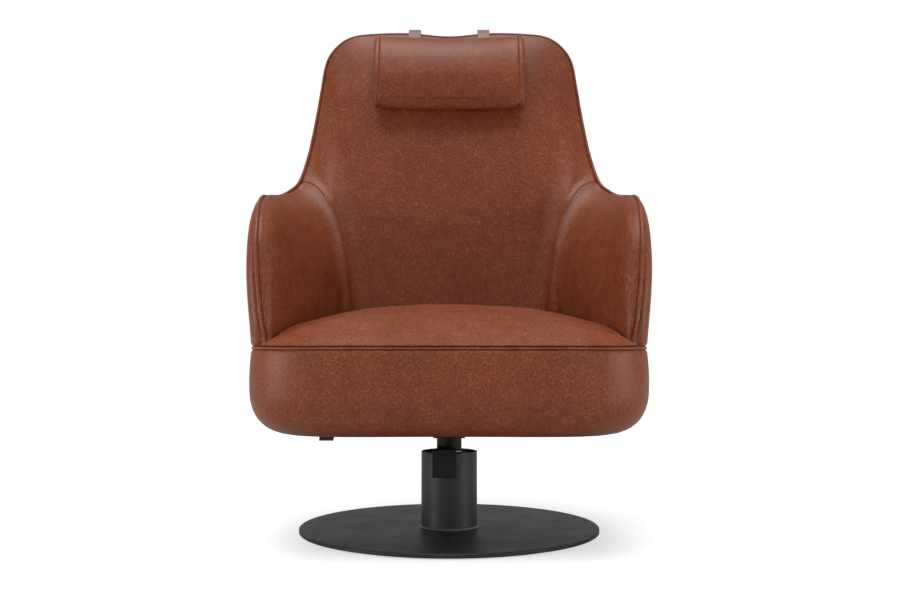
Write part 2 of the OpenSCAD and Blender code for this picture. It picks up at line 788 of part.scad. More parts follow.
module axle_bushings() {
    lug_x = channel_w / 2 - channel_t - lug_gap - lug_t;
    bore = axle_d + 2 * running_fit;
    color("#d8d4c4") for (side = [0, 1]) mirror([side, 0, 0]) translate([lug_x, 0, axle_z]) rotate([0, 90, 0]) {
        ring(axle_d + 2 * axle_bush_wall, bore, lug_t);
        translate([0, 0, lug_t]) ring(axle_d + 3 * axle_bush_wall, bore, axle_flange_t);
    }
}

module at_seat_bolts() {
    for (x = [-plate_bolt_x, plate_bolt_x], y = cross_rail_y) translate([x, y, 0]) children();
}

module seat_bolts() {
    color("#8d8f92") at_seat_bolts() translate([0, 0, plate_z - seat_bolt_head_t]) {
        cylinder(d = seat_bolt_head_d, h = seat_bolt_head_t, $fn = 6);
        cylinder(d = seat_bolt_d, h = seat_bolt_head_t + plate_t + seat_bolt_grip);
    }
}

module lever_brackets() {
    drop = rod_d / 2 + lever_bracket_drop / 2;
    color("#1f2021") for (x = [lever_bracket_inner, lever_bracket_outer]) difference() {
        translate([-x - lever_bracket_t, lever_y - lever_bracket_w / 2, lever_z - drop])
            cube([lever_bracket_t, lever_bracket_w, plate_z - lever_z + drop]);
        translate([-x - lever_bracket_t - overrun, lever_y, lever_z]) rotate([0, 90, 0])
            cylinder(d = rod_d + 2 * running_fit, h = lever_bracket_t + 2 * overrun);
    }
}

// Lock lever

module lever_rod() {
    inner = cam_x + cam_lining_t;
    color("#8d8f92") translate([-lever_reach + paddle_wall, lever_y, lever_z]) rotate([0, 90, 0])
        cylinder(d = rod_d, h = lever_reach - paddle_wall - inner);
}

module clamp_cam() {
    color("#5c5e60") translate([-cam_x - cam_lining_t - cam_t, lever_y, lever_z]) rotate([0, 90, 0])
        ring(cam_d, rod_d, cam_t);
}

module clamp_lining() {
    color("#3a3632") translate([-cam_x - cam_lining_t, lever_y, lever_z]) rotate([0, 90, 0])
        cylinder(d = cam_d, h = cam_lining_t);
}

module lever_paddle() {
    r = rod_d / 2 + paddle_wall;
    color("#161617") difference() {
        translate([-lever_reach, lever_y, lever_z]) rotate([90, 0, 90]) linear_extrude(paddle_w) {
            circle(r);
            polygon([
                [0, r], [-paddle_l, paddle_tip_t / 2 - paddle_droop],
                [-paddle_l, -paddle_tip_t / 2 - paddle_droop], [-paddle_t, -r], [0, -r]]);
        }
        translate([-lever_reach + paddle_wall, lever_y, lever_z]) rotate([0, 90, 0])
            cylinder(d = rod_d, h = lever_reach);
    }
}

// Seat frame

module cross_rails() {
    half = seat_half - border_t - rail_gap;
    end = half - rail_t * cross_rail_end_share;
    foot = half - rail_t * cross_rail_foot_share;
    edge_z = rail_z - rail_t * cross_rail_edge_share;
    color("#b88f5e") for (y = cross_rail_y) difference() {
        translate([0, y + cross_rail_w / 2, 0]) rotate([90, 0, 0]) linear_extrude(cross_rail_w)
            polygon([
                [foot, plate_top], [end, edge_z], [end, rail_z],
                [-end, rail_z], [-end, edge_z], [-foot, plate_top]]);
        for (x = [-plate_bolt_x, plate_bolt_x]) translate([x, y, plate_top - overrun])
            cylinder(d = seat_bolt_d, h = seat_bolt_grip + overrun);
    }
}

// Rail that follows the plan between two angles
module rail(from, to) {
    outer = border_t + rail_gap;
    angles = [for (a = [from : plan_step : to]) a];
    color("#b88f5e") translate([0, 0, rail_z]) linear_extrude(seam_z - rail_z)
        polygon(concat(
            [for (a = angles) plan_point(a, outer)],
            [for (i = [len(angles) - 1 : -1 : 0]) plan_point(angles[i], outer + rail_t)]));
}

module front_rail() {
    rail(front_rail_angle, 360 - front_rail_angle);
}

module rear_rail() {
    rail(-rear_rail_angle, rear_rail_angle);
}

module side_rails() {
    rail(rear_rail_angle, front_rail_angle);
    mirror([1, 0, 0]) rail(rear_rail_angle, front_rail_angle);
}

module seat_webbing() {
    z = seam_z - webbing_drop - webbing_t;
    color("#2c2a28") intersection() {
        for (y = webbing_y) translate([-seat_half, y - webbing_w / 2, z]) cube([seat_w, webbing_w, webbing_t]);
        translate([0, 0, z - overrun]) linear_extrude(webbing_t + 2 * overrun)
            polygon([for (a = plan_angles) plan_point(a, border_t + rail_gap + rail_t + face_gap)]);
    }
}

// Seat upholstery

// Profile of the border at an angle: its outer face from seam to underside, then its inner face back up
function border_ring(a) =
    let (
        top = seam_height(a),
        round_z = seat_z + lower_round,
        depth = lower_round + seat_swell,
        waist = [-seat_swell * waist_swell_share, top - (top - round_z) * waist_share],
        arc = [for (h = round_shares)
            let (inward = 1 - pow(1 - pow(h, lower_square), 1 / lower_square))
            [depth * inward - seat_swell, round_z - h * lower_round]],
        outside = concat([[0, top], waist], arc, [[lower_round + lip_w, seat_z]]),
        inside = [
            [lower_round + lip_w, seat_z + skin_t], [lower_round, seat_z + skin_t * lip_share],
            [border_t + rail_t * inner_share, rail_z - skin_t * inner_drop_share],
            [border_t, rail_z - skin_t], [border_t, top]]
    )
    [for (p = concat(outside, inside)) let (q = plan_point(a, p[0])) [q[0], q[1], p[1]]];

module seat_border() {
    color("#7c4530") ring_solid([for (a = plan_angles) border_ring(a)], true);
}

module dust_cover() {
    color("#1c1b1b") translate([0, 0, seat_z]) linear_extrude(dust_t) difference() {
        polygon([for (a = plan_angles) plan_point(a, lower_round + lip_w + soft_gap)]);
        translate([-plate_w / 2 - rail_gap, -plate_front - rail_gap])
            square([plate_w + 2 * rail_gap, plate_l + 2 * rail_gap]);
    }
}

// Outline of the cushion: round the inner foot of the shell, then along the front seam
function cushion_outline() =
    let (
        well = [for (s = [last_station : -1 : -last_station])
            let (
                p = inner_foot(abs(s)),
                q = [sign(s) * p[0], p[1]],
                c = [0, plan_y],
                inset = cushion_clear + corner_gap * pow(abs(s) / last_station, corner_power)
            )
            c + (q - c) * (1 - inset / norm(q - c))],
        front = [for (a = [360 - front_rail_angle : -plan_step : front_rail_angle]) plan_point(a, 0)]
    )
    concat(well, front);

// Place on the cushion at an inset from its outline towards its middle
function cushion_point(p, share) = [0, plan_y] * (1 - share) + p * share;

module seat_cushion() {
    outline = cushion_outline();
    low_z = seam_z - webbing_drop + soft_gap;
    top = [for (share = crown_shares)
        [for (p = outline) let (q = cushion_point(p, share)) [q[0], q[1], crown_height(q)]]];
    in_border = border_t + rail_gap;
    in_rails = border_t + rail_t + 2 * rail_gap;
    low = [for (k = [[0, 0], [in_border, 0], [in_border, 1], [in_rails, 1], [in_rails + rail_gap, 2]])
        [for (p = outline)
            let (
                away = norm(p - [0, plan_y]),
                q = cushion_point(p, 1 - k[0] / away),
                seat_on = seam_height(atan2(p[0], p[1] - plan_y)) + soft_gap
            )
            [q[0], q[1], k[1] == 0 ? seat_on : k[1] == 1 ? seam_z + soft_gap : low_z]]];
    color("#7c4530") ring_solid(concat(top, low), false);
}

module seat_piping() {
    path = [for (a = plan_angles)
        let (p = plan_point(a, -seat_piping_d / 2 - piping_clear)) [p[0], p[1], seam_height(a)]];
    color("#6a3a28") ring_solid(tube_rings(path, seat_piping_d, piping_sides, true), true);
}

// Back and arms

// Columns of points on the shell between two stations, at a depth, up to a row
function shell_columns(from, to, rows, depth) =
    [for (s = [from : to])
        let (w = depth < 0 ? 1 : depth_share(s, depth))
        [for (j = [0 : rows]) shell_point(s, row_shares[j], w)]];

module outer_cover() {
    color("#7c4530") sheet_solid(
        shell_columns(-last_station, last_station, rim_row, 0),
        shell_columns(-last_station, last_station, rim_row, cover_t));
}

module shell_frame() {
    color("#c19a6b") sheet_solid(
        shell_columns(-last_station, last_station, shell_rows, cover_t + soft_gap),
        shell_columns(-last_station, last_station, shell_rows, cover_t + shell_t));
}

module back_pad() {
    color("#7c4530") sheet_solid(
        shell_columns(-seam_station, seam_station, rim_row, cover_t + shell_t + soft_gap),
        shell_columns(-seam_station, seam_station, rim_row, -1));
}

// Columns of one arm's pad; the column at the seam stands clear of the back pad
function arm_columns(from, to, depth) =
    [for (s = [from : to])
        let (
            place = abs(s) == seam_station ? sign(s) * (seam_station + seam_clear_share) : s,
            w = depth < 0 ? 1 : depth_share(place, depth)
        )
        [for (j = [0 : rim_row]) shell_point(place, row_shares[j], w)]];

module arm_pad(from, to) {
    color("#7c4530") sheet_solid(
        arm_columns(from, to, cover_t + shell_t + soft_gap),
        arm_columns(from, to, -1));
}

module left_arm_pad() {
    arm_pad(-last_station, -seam_station);
}

module right_arm_pad() {
    arm_pad(seam_station, last_station);
}

// Middle of the rim piping at a signed station
function piping_point(s) =
    let (
        r = abs(s),
        along = rim_point(min(r + 1, last_station)) - (r < 1 ? mirrored(rim_point(1 - r)) : rim_point(r - 1)),
        p = rim_point(r) + unit(cross(along, rim_side(r))) * (rim_piping_d / 2 + 2 * soft_gap)
    )
    s < 0 ? mirrored(p) : p;

module rim_piping() {
    path = [for (s = [-last_station : last_station]) piping_point(s)];
    color("#6a3a28") ring_solid(tube_rings(path, rim_piping_d, piping_sides, false), false);
}

// Headrest

// Place and slope of the inner back where the pillow hangs
pillow_top_point = inner_curve(0, pillow_top_share);
pillow_low_point = inner_curve(0, pillow_low_share);
pillow_slope = unit(pillow_top_point - pillow_low_point);
pillow_lean = atan2(pillow_slope[1], pillow_slope[2]);
pillow_stand = strap_t + 2 * strap_lift + 4 * soft_gap + pillow_clear;

module headrest_pillow() {
    half = [pillow_w / 2, pillow_h / 2];
    pillow_crown = pillow_t - pillow_edge;
    outline = [for (i = [0 : pillow_points - 1])
        let (
            a = -i * 360 / pillow_points,
            across = pow(abs(cos(a)) / half[0], pillow_power),
            up = pow(abs(sin(a)) / half[1], pillow_power),
            r = pow(across + up, -1 / pillow_power)
        )
        [r * cos(a), r * sin(a)]];
    top_z = rim_top_z - pillow_drop;
    middle_z = top_z - pillow_h / 2 * cos(pillow_lean);
    share = (middle_z - pillow_low_point[2]) / (pillow_top_point[2] - pillow_low_point[2]);
    middle_y = pillow_low_point[1] + share * (pillow_top_point[1] - pillow_low_point[1]) - pillow_stand;
    color("#7c4530") translate([0, middle_y, middle_z]) rotate([-pillow_lean, 0, 0])
        ring_solid([for (k = pillow_shares) [for (p = outline)
            [
                p[0] * k[0],
                pillow_wrap * pow(p[0] * k[0] / half[0], 2) - k[1] * pillow_edge - k[2] * pillow_crown,
                p[1] * k[0]
            ]]], false);
}

// Stop on the straps over a point of the back, in the plane that runs along the chair
function strap_stop(p, ahead, t) =
    let (
        along = unit(ahead - p),
        out = [along[1], -along[0]],
        lift = strap_lift + (rim_piping_d + soft_gap) * pow(t, strap_power)
    )
    p - out * (lift + strap_t / 2);
function plane_of(p) = [p[1], p[2]];
function inner_plane(t) = plane_of(inner_curve(strap_station, t));
function outer_plane(t) = plane_of(outer_curve(strap_station, t));

// Path of the straps from behind the pillow over the rim to the weight
function strap_path() =
    let (
        steps = [for (i = [0 : strap_count]) i / strap_count],
        rise = strap_top_share - strap_front_share,
        fall = strap_top_share - strap_rear_share,
        front = [for (f = steps)
            let (t = strap_front_share + rise * f)
            strap_stop(inner_plane(t), inner_plane(t + strap_ahead), t)],
        rear = [for (f = steps)
            let (t = strap_top_share - fall * f)
            strap_stop(outer_plane(t), outer_plane(t - strap_ahead), t)],
        rim = plane_of(piping_point(strap_station)),
        loop_rise = rim_piping_d / 2 + 2 * soft_gap + strap_t / 2 + strap_loop,
        over = [for (side = [-1, 1]) rim + [side * strap_loop, loop_rise]]
    )
    concat(front, over, rear);

module headrest_straps() {
    path = strap_path();
    m = len(path);
    sides = [for (i = [0 : m - 1])
        let (along = unit(path[min(i + 1, m - 1)] - path[max(i - 1, 0)])) [along[1], -along[0]] * strap_t / 2];
    color("#a5705c") for (x = [-strap_pitch / 2, strap_pitch / 2]) translate([x - strap_w / 2, 0, 0])
        rotate([90, 0, 90]) linear_extrude(strap_w)
            polygon(concat(
                [for (i = [0 : m - 1]) path[i] + sides[i]],
                [for (i = [m - 1 : -1 : 0]) path[i] - sides[i]]));
}

// Place and slope of the outer back where the weight hangs
pouch_point = outer_curve(0, pouch_share);
pouch_slope = unit(outer_curve(0, pouch_share + pouch_slope_share) - outer_curve(0, pouch_share));
pouch_lean = atan2(pouch_slope[1], pouch_slope[2]);
pouch_stand = strap_t + strap_lift + pouch_gap;

module at_weight() {
    translate(pouch_point) rotate([-pouch_lean, 0, 0]) translate([0, pouch_stand, 0]) children();
}

module weight_pouch() {
    inner_w = pouch_w - 2 * pouch_wall;
    inner_h = pouch_h - 2 * pouch_wall;
    inner_t = pouch_t - 2 * pouch_wall;
    inner_corner = pouch_corner - pouch_wall;
    color("#7c4530") at_weight() difference() {
        round_plate(pouch_w, pouch_h, pouch_t, pouch_corner);
        translate([0, pouch_wall, 0])
            round_plate(inner_w, inner_h, inner_t, inner_corner);
    }
}

module weight_bar() {
    inset = pouch_wall + bar_gap;
    color("#5c5e60") at_weight() translate([0, inset, 0])
        round_plate(pouch_w - 2 * inset, pouch_h - 2 * inset, pouch_t - 2 * inset, pouch_corner - inset);
}

floor_pad();
base_disc();
base_screws();
foot_plate();
column_tube();
column_weld();
bearing_tube();
lower_bushing();
upper_bushing();
thrust_washer();
column_cap();
swivel_post();
retaining_bolt();
retaining_washer();
brake_bracket();
brake_block();
brake_lining();
brake_screw();
tilt_channel();
tilt_axle();
axle_rings();
tilt_spring();
front_buffer();
rear_buffer();
seat_plate();
axle_bushings();
seat_bolts();
lever_brackets();
lever_rod();
clamp_cam();
clamp_lining();
lever_paddle();
cross_rails();
front_rail();
rear_rail();
side_rails();
seat_webbing();
seat_border();
dust_cover();
seat_cushion();
seat_piping();
shell_frame();
outer_cover();
back_pad();
left_arm_pad();
right_arm_pad();
rim_piping();
headrest_pillow();
headrest_straps();
weight_pouch();
weight_bar();
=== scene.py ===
import json
import math

import bmesh
import bpy
import numpy as np
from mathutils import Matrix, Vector


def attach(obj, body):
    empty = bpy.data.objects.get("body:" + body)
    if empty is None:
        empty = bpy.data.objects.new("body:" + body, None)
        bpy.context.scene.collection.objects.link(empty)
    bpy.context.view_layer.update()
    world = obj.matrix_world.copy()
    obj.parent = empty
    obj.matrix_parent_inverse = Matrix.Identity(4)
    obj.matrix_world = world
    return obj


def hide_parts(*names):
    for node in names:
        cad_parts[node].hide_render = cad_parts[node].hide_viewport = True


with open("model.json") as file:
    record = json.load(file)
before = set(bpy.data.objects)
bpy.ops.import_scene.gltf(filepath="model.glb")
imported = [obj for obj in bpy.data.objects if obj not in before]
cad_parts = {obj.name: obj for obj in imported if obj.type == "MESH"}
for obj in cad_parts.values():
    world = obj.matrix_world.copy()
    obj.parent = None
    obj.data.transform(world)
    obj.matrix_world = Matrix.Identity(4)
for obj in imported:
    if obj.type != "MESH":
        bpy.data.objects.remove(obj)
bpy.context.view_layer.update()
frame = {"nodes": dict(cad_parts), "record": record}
nodes = frame["nodes"]
MM = 0.001

# Sizes of the chair, in millimetres, as its solids have them; only the leather's front seam rises 2 mm less
SEAT_HALF, SEAT_FRONT, SEAT_REAR = 369.0, 374.0, 270.0
PLAN_Y, FRONT_SQUARE, REAR_SQUARE = -30.0, 5.0, 2.8
SEAT_Z, SEAM_Z, CROWN_Z, SEAM_RISE = 220.0, 372.0, 454.0, 9.0
LOWER_ROUND, LOWER_SQUARE, SEAT_SWELL, LIP = 88.0, 2.5, 4.0, 20.0
BORDER_T, RAIL_T, RAIL_Z = 30.0, 35.0, 262.0
ARM_RISE, BACK_RISE, ARM_HALF, BACK_HALF = 326.0, 363.0, 387.0, 303.0
BACK_TOP_Y, SHOULDER_Y, ARM_FRONT, WELL_REAR, WELL_HALF = 332.0, 190.0, 288.0, 122.0, 318.0
COVER_T, SHELL_T, LEAST_PAD_T, SOFT_GAP = 34.0, 14.0, 44.0, 0.4
RIM_PIPING, SEAT_PIPING = 6.5, 4.5
RIM_TOP_Z = SEAM_Z + ARM_RISE + BACK_RISE
STRAP_W, STRAP_T, STRAP_PITCH, STRAP_LOOP = 27.0, 2.5, 154.0, 5.0
# A strap's lift off the leather, the station whose section it follows, and how late it rises to the rim
STRAP_LIFT, STRAP_STATION, STRAP_POWER = 0.7, 0.81, 14
PILLOW_W, PILLOW_H, PILLOW_T, PILLOW_EDGE, PILLOW_DROP, PILLOW_CLEAR = 330.0, 184.0, 64.0, 40.0, 20.0, 5.4
# The seat's crown: squareness of its plan, how late it falls, and its height over the seam at the edge
CROWN_SQUARE, CROWN_POWER, CROWN_EDGE = 4.5, 3.1, 5

# The shell's section changes over stations, from the back's middle (row 0) to the arm's front foot (row 20).
# Rim: shares of the back's and the arm's half width, of the way from the arm's front to the shoulder and from
# there to the back's top, and of the arm's and the back's rise
RIM = [
    (0, 0, 1, 1, 1, 0.986), (0.31, 0, 1, 1, 1, 1.006), (0.585, 0, 1, 1, 1, 1),
    (0.725, 0, 1, 0.99, 1, 0.98), (0.825, 0, 1, 0.97, 1, 0.925), (0.9, 0, 1, 0.91, 1, 0.825),
    (0.936, 0, 1, 0.81, 1, 0.65), (0.894, 0.06, 1, 0.66, 1, 0.445), (0.632, 0.3, 1, 0.46, 1, 0.235),
    (0.3, 0.604, 1, 0.22, 1, 0.066), (0, 0.889, 0.985, 0, 0.995, 0), (0, 0.92, 0.85, 0, 0.958, 0),
    (0, 0.938, 0.665, 0, 0.936, 0), (0, 0.941, 0.48, 0, 0.9125, 0), (0, 0.932, 0.295, 0, 0.857, 0),
    (0, 0.918, 0.157, 0, 0.768, 0), (0, 0.91, 0.07, 0, 0.62, 0), (0, 0.901, 0.035, 0, 0.46, 0),
    (0, 0.888, 0.016, 0, 0.305, 0), (0, 0.873, 0.006, 0, 0.16, 0), (0, 0.858, 0.01, 0, 0.07, 0)]
# Where the outside stands on the seat's seam, in degrees round the seat from behind
FOOT = [0, 12, 22, 29, 34.5, 40, 45.5, 51.5, 58, 65, 72, 81.5, 92, 101.5, 109.5, 115.5, 119.5, 121.8, 123.3,
        124.5, 125.4]
# Where the inside meets the seat cushion: shares of the well's half width and of its length
WELL = [
    (0, 1), (0.142, 0.999), (0.277, 0.995), (0.346, 0.991), (0.403, 0.987), (0.456, 0.982),
    (0.512, 0.975), (0.566, 0.965), (0.61, 0.953), (0.642, 0.934), (0.698, 0.878), (0.764, 0.752),
    (0.824, 0.593), (0.868, 0.446), (0.906, 0.312), (0.932, 0.215), (0.95, 0.147), (0.962, 0.108),
    (0.97, 0.08), (0.98, 0.055), (1, 0.02)]
# Outside: its direction in degrees, shares of the back's and the arm's swell, and the shares of the height at
# which the swell below the rim and above the foot lies
OUTER = [
    (0, 1, 0, 0.037, 0.27), (2, 1, 0, 0.037, 0.27), (5, 0.9, 0.04, 0.037, 0.27),
    (10, 0.74, 0.1, 0.04, 0.27), (18, 0.58, 0.2, 0.045, 0.275), (28, 0.44, 0.32, 0.05, 0.28),
    (36, 0.32, 0.45, 0.06, 0.29), (44, 0.2, 0.6, 0.07, 0.3), (54, 0.1, 0.5, 0.09, 0.32),
    (66, 0.04, 0.4, 0.11, 0.34), (78, 0, 0.45, 0.125, 0.36), (86, 0, 0.75, 0.13, 0.37),
    (90, 0, 1, 0.13, 0.37), (90, 0, 1, 0.13, 0.37), (92, 0, 0.98, 0.13, 0.37),
    (95, 0, 0.92, 0.13, 0.37), (98, 0, 0.8, 0.12, 0.37), (100, 0, 0.66, 0.1, 0.37),
    (102, 0, 0.5, 0.08, 0.37), (104, 0, 0.32, 0.05, 0.37), (106, 0, 0.12, 0, 0.37)]
# Inside: its direction in degrees, shares of the roll inside the rim, of the roll's lift and of the foot's
# lean, and the share of the height at which the lean ends
INNER = [
    (0, 0.9, 1, 1, 0.245), (0, 0.9, 1, 1, 0.245), (2, 0.84, 0.8, 0.98, 0.245),
    (5, 0.75, 0.55, 0.95, 0.25), (8, 0.68, 0.35, 0.93, 0.255), (12, 0.63, 0.18, 0.9, 0.26),
    (18, 0.6, 0.05, 0.86, 0.27), (28, 0.63, 0.02, 0.6, 0.3), (45, 0.76, 0.12, 0.25, 0.38),
    (68, 1.04, 0.3, -0.12, 0.47), (76, 0.97, 0.55, -0.15, 0.47), (82, 0.88, 0.78, -0.1, 0.46),
    (88, 0.8, 0.85, 0, 0.45), (90, 0.77, 0.85, 0, 0.45), (88, 0.74, 0.85, 0, 0.45),
    (80, 0.66, 0.7, 0, 0.44), (72, 0.54, 0.25, 0, 0.42), (66, 0.46, 0.06, 0, 0.4),
    (62, 0.38, 0, 0, 0.38), (60, 0.28, 0, 0, 0.36), (58, 0.12, 0, 0, 0.34)]
# Sizes that the shares in both tables are of; the foot's swell is a share itself
BACK_SWELL, ARM_SWELL, FOOT_SWELL, ROLL, ROLL_LIFT, FOOT_LEAN = 102.0, 31.0, 0.15, 81.0, 4.0, 43.0
# Last station, and the stations of the seams between back and arms in the pads and in the cover
LAST, PAD_SEAM, COVER_SEAM = 20, 9, 8
PARTS_PER_STATION, WELL_PARTS_PER_STATION, RIM_PARTS_PER_STATION = 5, 3, 9
# Turns in degrees past which an edge shows
SHARP_TURN, STRAP_SHARP_TURN = 50, 35
# How fast a tuck fades, and the least length that anything is divided by
FOLD_POWER, LEAST = 1.5, 1e-6


# Meshes

def mesh_piece(name, points, faces, sharp_turn):
    """Smooth piece with its faces out; turns sharper than the given one show as edges."""
    data = bpy.data.meshes.new(name)
    data.from_pydata([tuple(p) for p in np.asarray(points, float) * MM], [], faces)
    data.validate()
    body = bmesh.new()
    body.from_mesh(data)
    if body.calc_volume(signed=True) < 0:
        bmesh.ops.reverse_faces(body, faces=body.faces)
        body.to_mesh(data)
    body.free()
    data.update()
    data.shade_smooth()
    data.set_sharp_from_angle(angle=math.radians(sharp_turn))
    piece = bpy.data.objects.new(name, data)
    bpy.context.scene.collection.objects.link(piece)
    return piece


def grid_faces(rows, cols, offset=0, wrap_rows=False, wrap_cols=False, flip=False):
    faces = []
    for i in range(rows if wrap_rows else rows - 1):
        for j in range(cols if wrap_cols else cols - 1):
            i2, j2 = (i + 1) % rows, (j + 1) % cols
            face = (i * cols + j, i2 * cols + j, i2 * cols + j2, i * cols + j2)
            face = tuple(offset + k for k in face)
            faces.append(face[::-1] if flip else face)
    return faces


def thick_sheet(name, front, back):
    """Closed piece between two grids of points; the front faces out."""
    rows, cols = front.shape[:2]
    n = rows * cols
    faces = grid_faces(rows, cols) + grid_faces(rows, cols, n, flip=True)
    edge = [i * cols for i in range(rows)] + [(rows - 1) * cols + j for j in range(1, cols)]
    edge += [i * cols + cols - 1 for i in range(rows - 2, -1, -1)] + [j for j in range(cols - 2, 0, -1)]
    for a, b in zip(edge, edge[1:] + edge[:1]):
        faces.append((b, a, n + a, n + b))
    return mesh_piece(name, np.concatenate([front.reshape(-1, 3), back.reshape(-1, 3)]), faces, SHARP_TURN)


def ring_piece(name, rings, closed, sharp_turn=SHARP_TURN):
    """Piece through rings of points, with flat ends if it isn't closed."""
    rings = np.asarray(rings, float)
    m, n = rings.shape[:2]
    faces = grid_faces(m, n, wrap_rows=closed, wrap_cols=True)
    if not closed:
        faces += [tuple(range(n)), tuple((m - 1) * n + j for j in range(n - 1, -1, -1))]
    return mesh_piece(name, rings.reshape(-1, 3), faces, sharp_turn)


def unit(v):
    v = np.asarray(v, float)
    return v / np.maximum(np.linalg.norm(v, axis=-1, keepdims=True), LEAST)


def carried_frames(path, closed):
    """Two directions across a path, carried along it without twist."""
    m = len(path)
    ahead = np.roll(path, -1, 0) if closed else np.concatenate([path[1:], path[-1:]])
    behind = np.roll(path, 1, 0) if closed else np.concatenate([path[:1], path[:-1]])
    along = unit(ahead - behind)
    across = np.zeros((m, 3))
    across[0] = unit(np.cross(along[0], (0, 0, 1)))
    for i in range(1, m):
        across[i] = unit(across[i - 1] - along[i] * across[i - 1].dot(along[i]))
    return across, np.cross(across, along)


def tube(name, path, radius, sides, closed=False):
    """Round cord along a path; on a closed path its two ends meet without a twist."""
    path = np.asarray(path, float)
    across, up = carried_frames(path, closed)
    if closed:
        turn = math.atan2(across[0].dot(up[-1]), across[0].dot(across[-1]))
        for i in range(len(path)):
            a = turn * i / len(path)
            old_across, old_up = across[i].copy(), up[i].copy()
            across[i] = old_across * math.cos(a) + old_up * math.sin(a)
            up[i] = old_up * math.cos(a) - old_across * math.sin(a)
    turns = [2 * math.pi * k / sides for k in range(sides)]
    rings = [[path[i] + (across[i] * math.cos(a) + up[i] * math.sin(a)) * radius for a in turns]
             for i in range(len(path))]
    return ring_piece(name, rings, closed)


# Rows of a grid of the shell, from the seam up to the rim, closer together by the rim
ROWS = np.concatenate([np.linspace(0, 0.94, 44), 0.94 + 0.06 * np.linspace(0, 1, 9)[1:]])
MIDDLE_ROW = 20


def smooth_table(table, s):
    """Value of a table at a place between its rows, on a smooth curve through them."""
    i = int(min(max(math.floor(s), 0), len(table) - 2))
    f = s - i
    rows = [table[min(max(k, 0), len(table) - 1)] for k in (i - 1, i, i + 1, i + 2)]
    if i == 0:
        rows[0] = 2 * rows[1] - rows[2]
    if i == len(table) - 2:
        rows[3] = 2 * rows[2] - rows[1]
    a, b, c, d = rows
    return b + 0.5 * f * (c - a + f * (2 * a - 5 * b + 4 * c - d + f * (3 * (b - c) + d - a)))


def smooth_step(x, low, high):
    """Rises from 0 at low to 1 at high without a corner."""
    t = np.clip((np.asarray(x, float) - low) / (high - low), 0, 1)
    return t * t * (3 - 2 * t)


# Shape of the seat body and of the shell of back and arms, in millimetres

def plan_reach(a):
    """Distance from the seat's middle to its outline, at an angle round the seat from behind."""
    rear = math.cos(a) > 0
    n, d = (REAR_SQUARE, SEAT_REAR - PLAN_Y) if rear else (FRONT_SQUARE, SEAT_FRONT + PLAN_Y)
    return ((abs(math.sin(a)) / SEAT_HALF) ** n + (abs(math.cos(a)) / d) ** n) ** (-1 / n)


def plan_point(a, inset=0.0):
    r = plan_reach(a) - inset
    return r * math.sin(a), PLAN_Y + r * math.cos(a)


def seam_height(a):
    return SEAM_Z + (SEAM_RISE * (1 - abs(math.sin(a)) ** 6) if math.cos(a) < 0 else 0.0)


def plan_angle(x, y):
    return math.atan2(x, y - PLAN_Y)


def crown_height(x, y):
    """Height of the seat cushion's top over a point of its plan."""
    sx, sy = abs(x) / SEAT_HALF, max(0.0, PLAN_Y - y) / (SEAT_FRONT + PLAN_Y)
    reach = min(1.0, (sx ** CROWN_SQUARE + sy ** CROWN_SQUARE) ** (1 / CROWN_SQUARE))
    edge = seam_height(plan_angle(x, y)) + CROWN_EDGE
    return CROWN_Z - (CROWN_Z - edge) * reach ** CROWN_POWER


def station_controls(k):
    """The eight controls of the shell's section at a station: four outside, then four inside."""
    r, w, o, n = RIM[k], WELL[k], OUTER[k], INNER[k]
    rim = np.array([
        r[0] * BACK_HALF + r[1] * ARM_HALF,
        -ARM_FRONT + r[2] * (ARM_FRONT + SHOULDER_Y) + r[3] * (BACK_TOP_Y - SHOULDER_Y),
        SEAM_Z + r[4] * ARM_RISE + r[5] * BACK_RISE])
    x, y = plan_point(math.radians(FOOT[k]))
    outer_foot = np.array([x, y, seam_height(plan_angle(x, y)) + SOFT_GAP])
    x, y = w[0] * WELL_HALF, -ARM_FRONT + w[1] * (ARM_FRONT + WELL_REAR)
    inner_foot = np.array([x, y, seam_height(plan_angle(x, y)) + SOFT_GAP])
    a, b = math.radians(o[0]), math.radians(n[0])
    outer_side = np.array([math.sin(a), math.cos(a), 0])
    inner_side = np.array([-math.sin(b), -math.cos(b), 0])
    side = unit(outer_side - inner_side)
    gap = RIM_PIPING / 2 + SOFT_GAP
    outer_rim, inner_rim = rim + side * gap, rim - side * gap
    swell = o[1] * BACK_SWELL + o[2] * ARM_SWELL
    rise = np.array([0, 0, outer_rim[2] - outer_foot[2]])
    inner_rise = np.array([0, 0, inner_rim[2] - inner_foot[2]])
    return np.array([
        outer_foot, outer_foot + outer_side * swell * FOOT_SWELL + rise * o[4],
        outer_rim + outer_side * swell - rise * o[3], outer_rim,
        inner_foot, inner_foot - inner_side * n[3] * FOOT_LEAN + inner_rise * n[4],
        inner_rim + inner_side * n[1] * ROLL + np.array([0, 0, n[2] * ROLL_LIFT]), inner_rim])


MIRROR = np.array([-1.0, 1.0, 1.0])
right_stations = [station_controls(k) for k in range(LAST + 1)]
all_stations = np.array([c * MIRROR for c in right_stations[:0:-1]] + right_stations)


def controls(s):
    """The eight controls at any place, from -20 at the left arm's foot to 20 at the right arm's."""
    return smooth_table(all_stations, s + LAST)


def curve_at(c, t):
    return c[0] * (1 - t) ** 3 + c[1] * 3 * t * (1 - t) ** 2 + c[2] * 3 * t * t * (1 - t) + c[3] * t ** 3


def rim_middle(c):
    """Middle of the gap between the outer and the inner curve at the rim, where the piping runs."""
    return (c[3] + c[7]) / 2


def shell_point(c, t, depth):
    """Point of the shell: depth is the distance in from its outside, and None is its inside."""
    outer, inner = curve_at(c[:4], t), curve_at(c[4:], t)
    if depth is None:
        return inner
    share = depth / max(np.linalg.norm(c[0] - c[4]), COVER_T + SHELL_T + LEAST_PAD_T)
    return outer * (1 - share) + inner * share


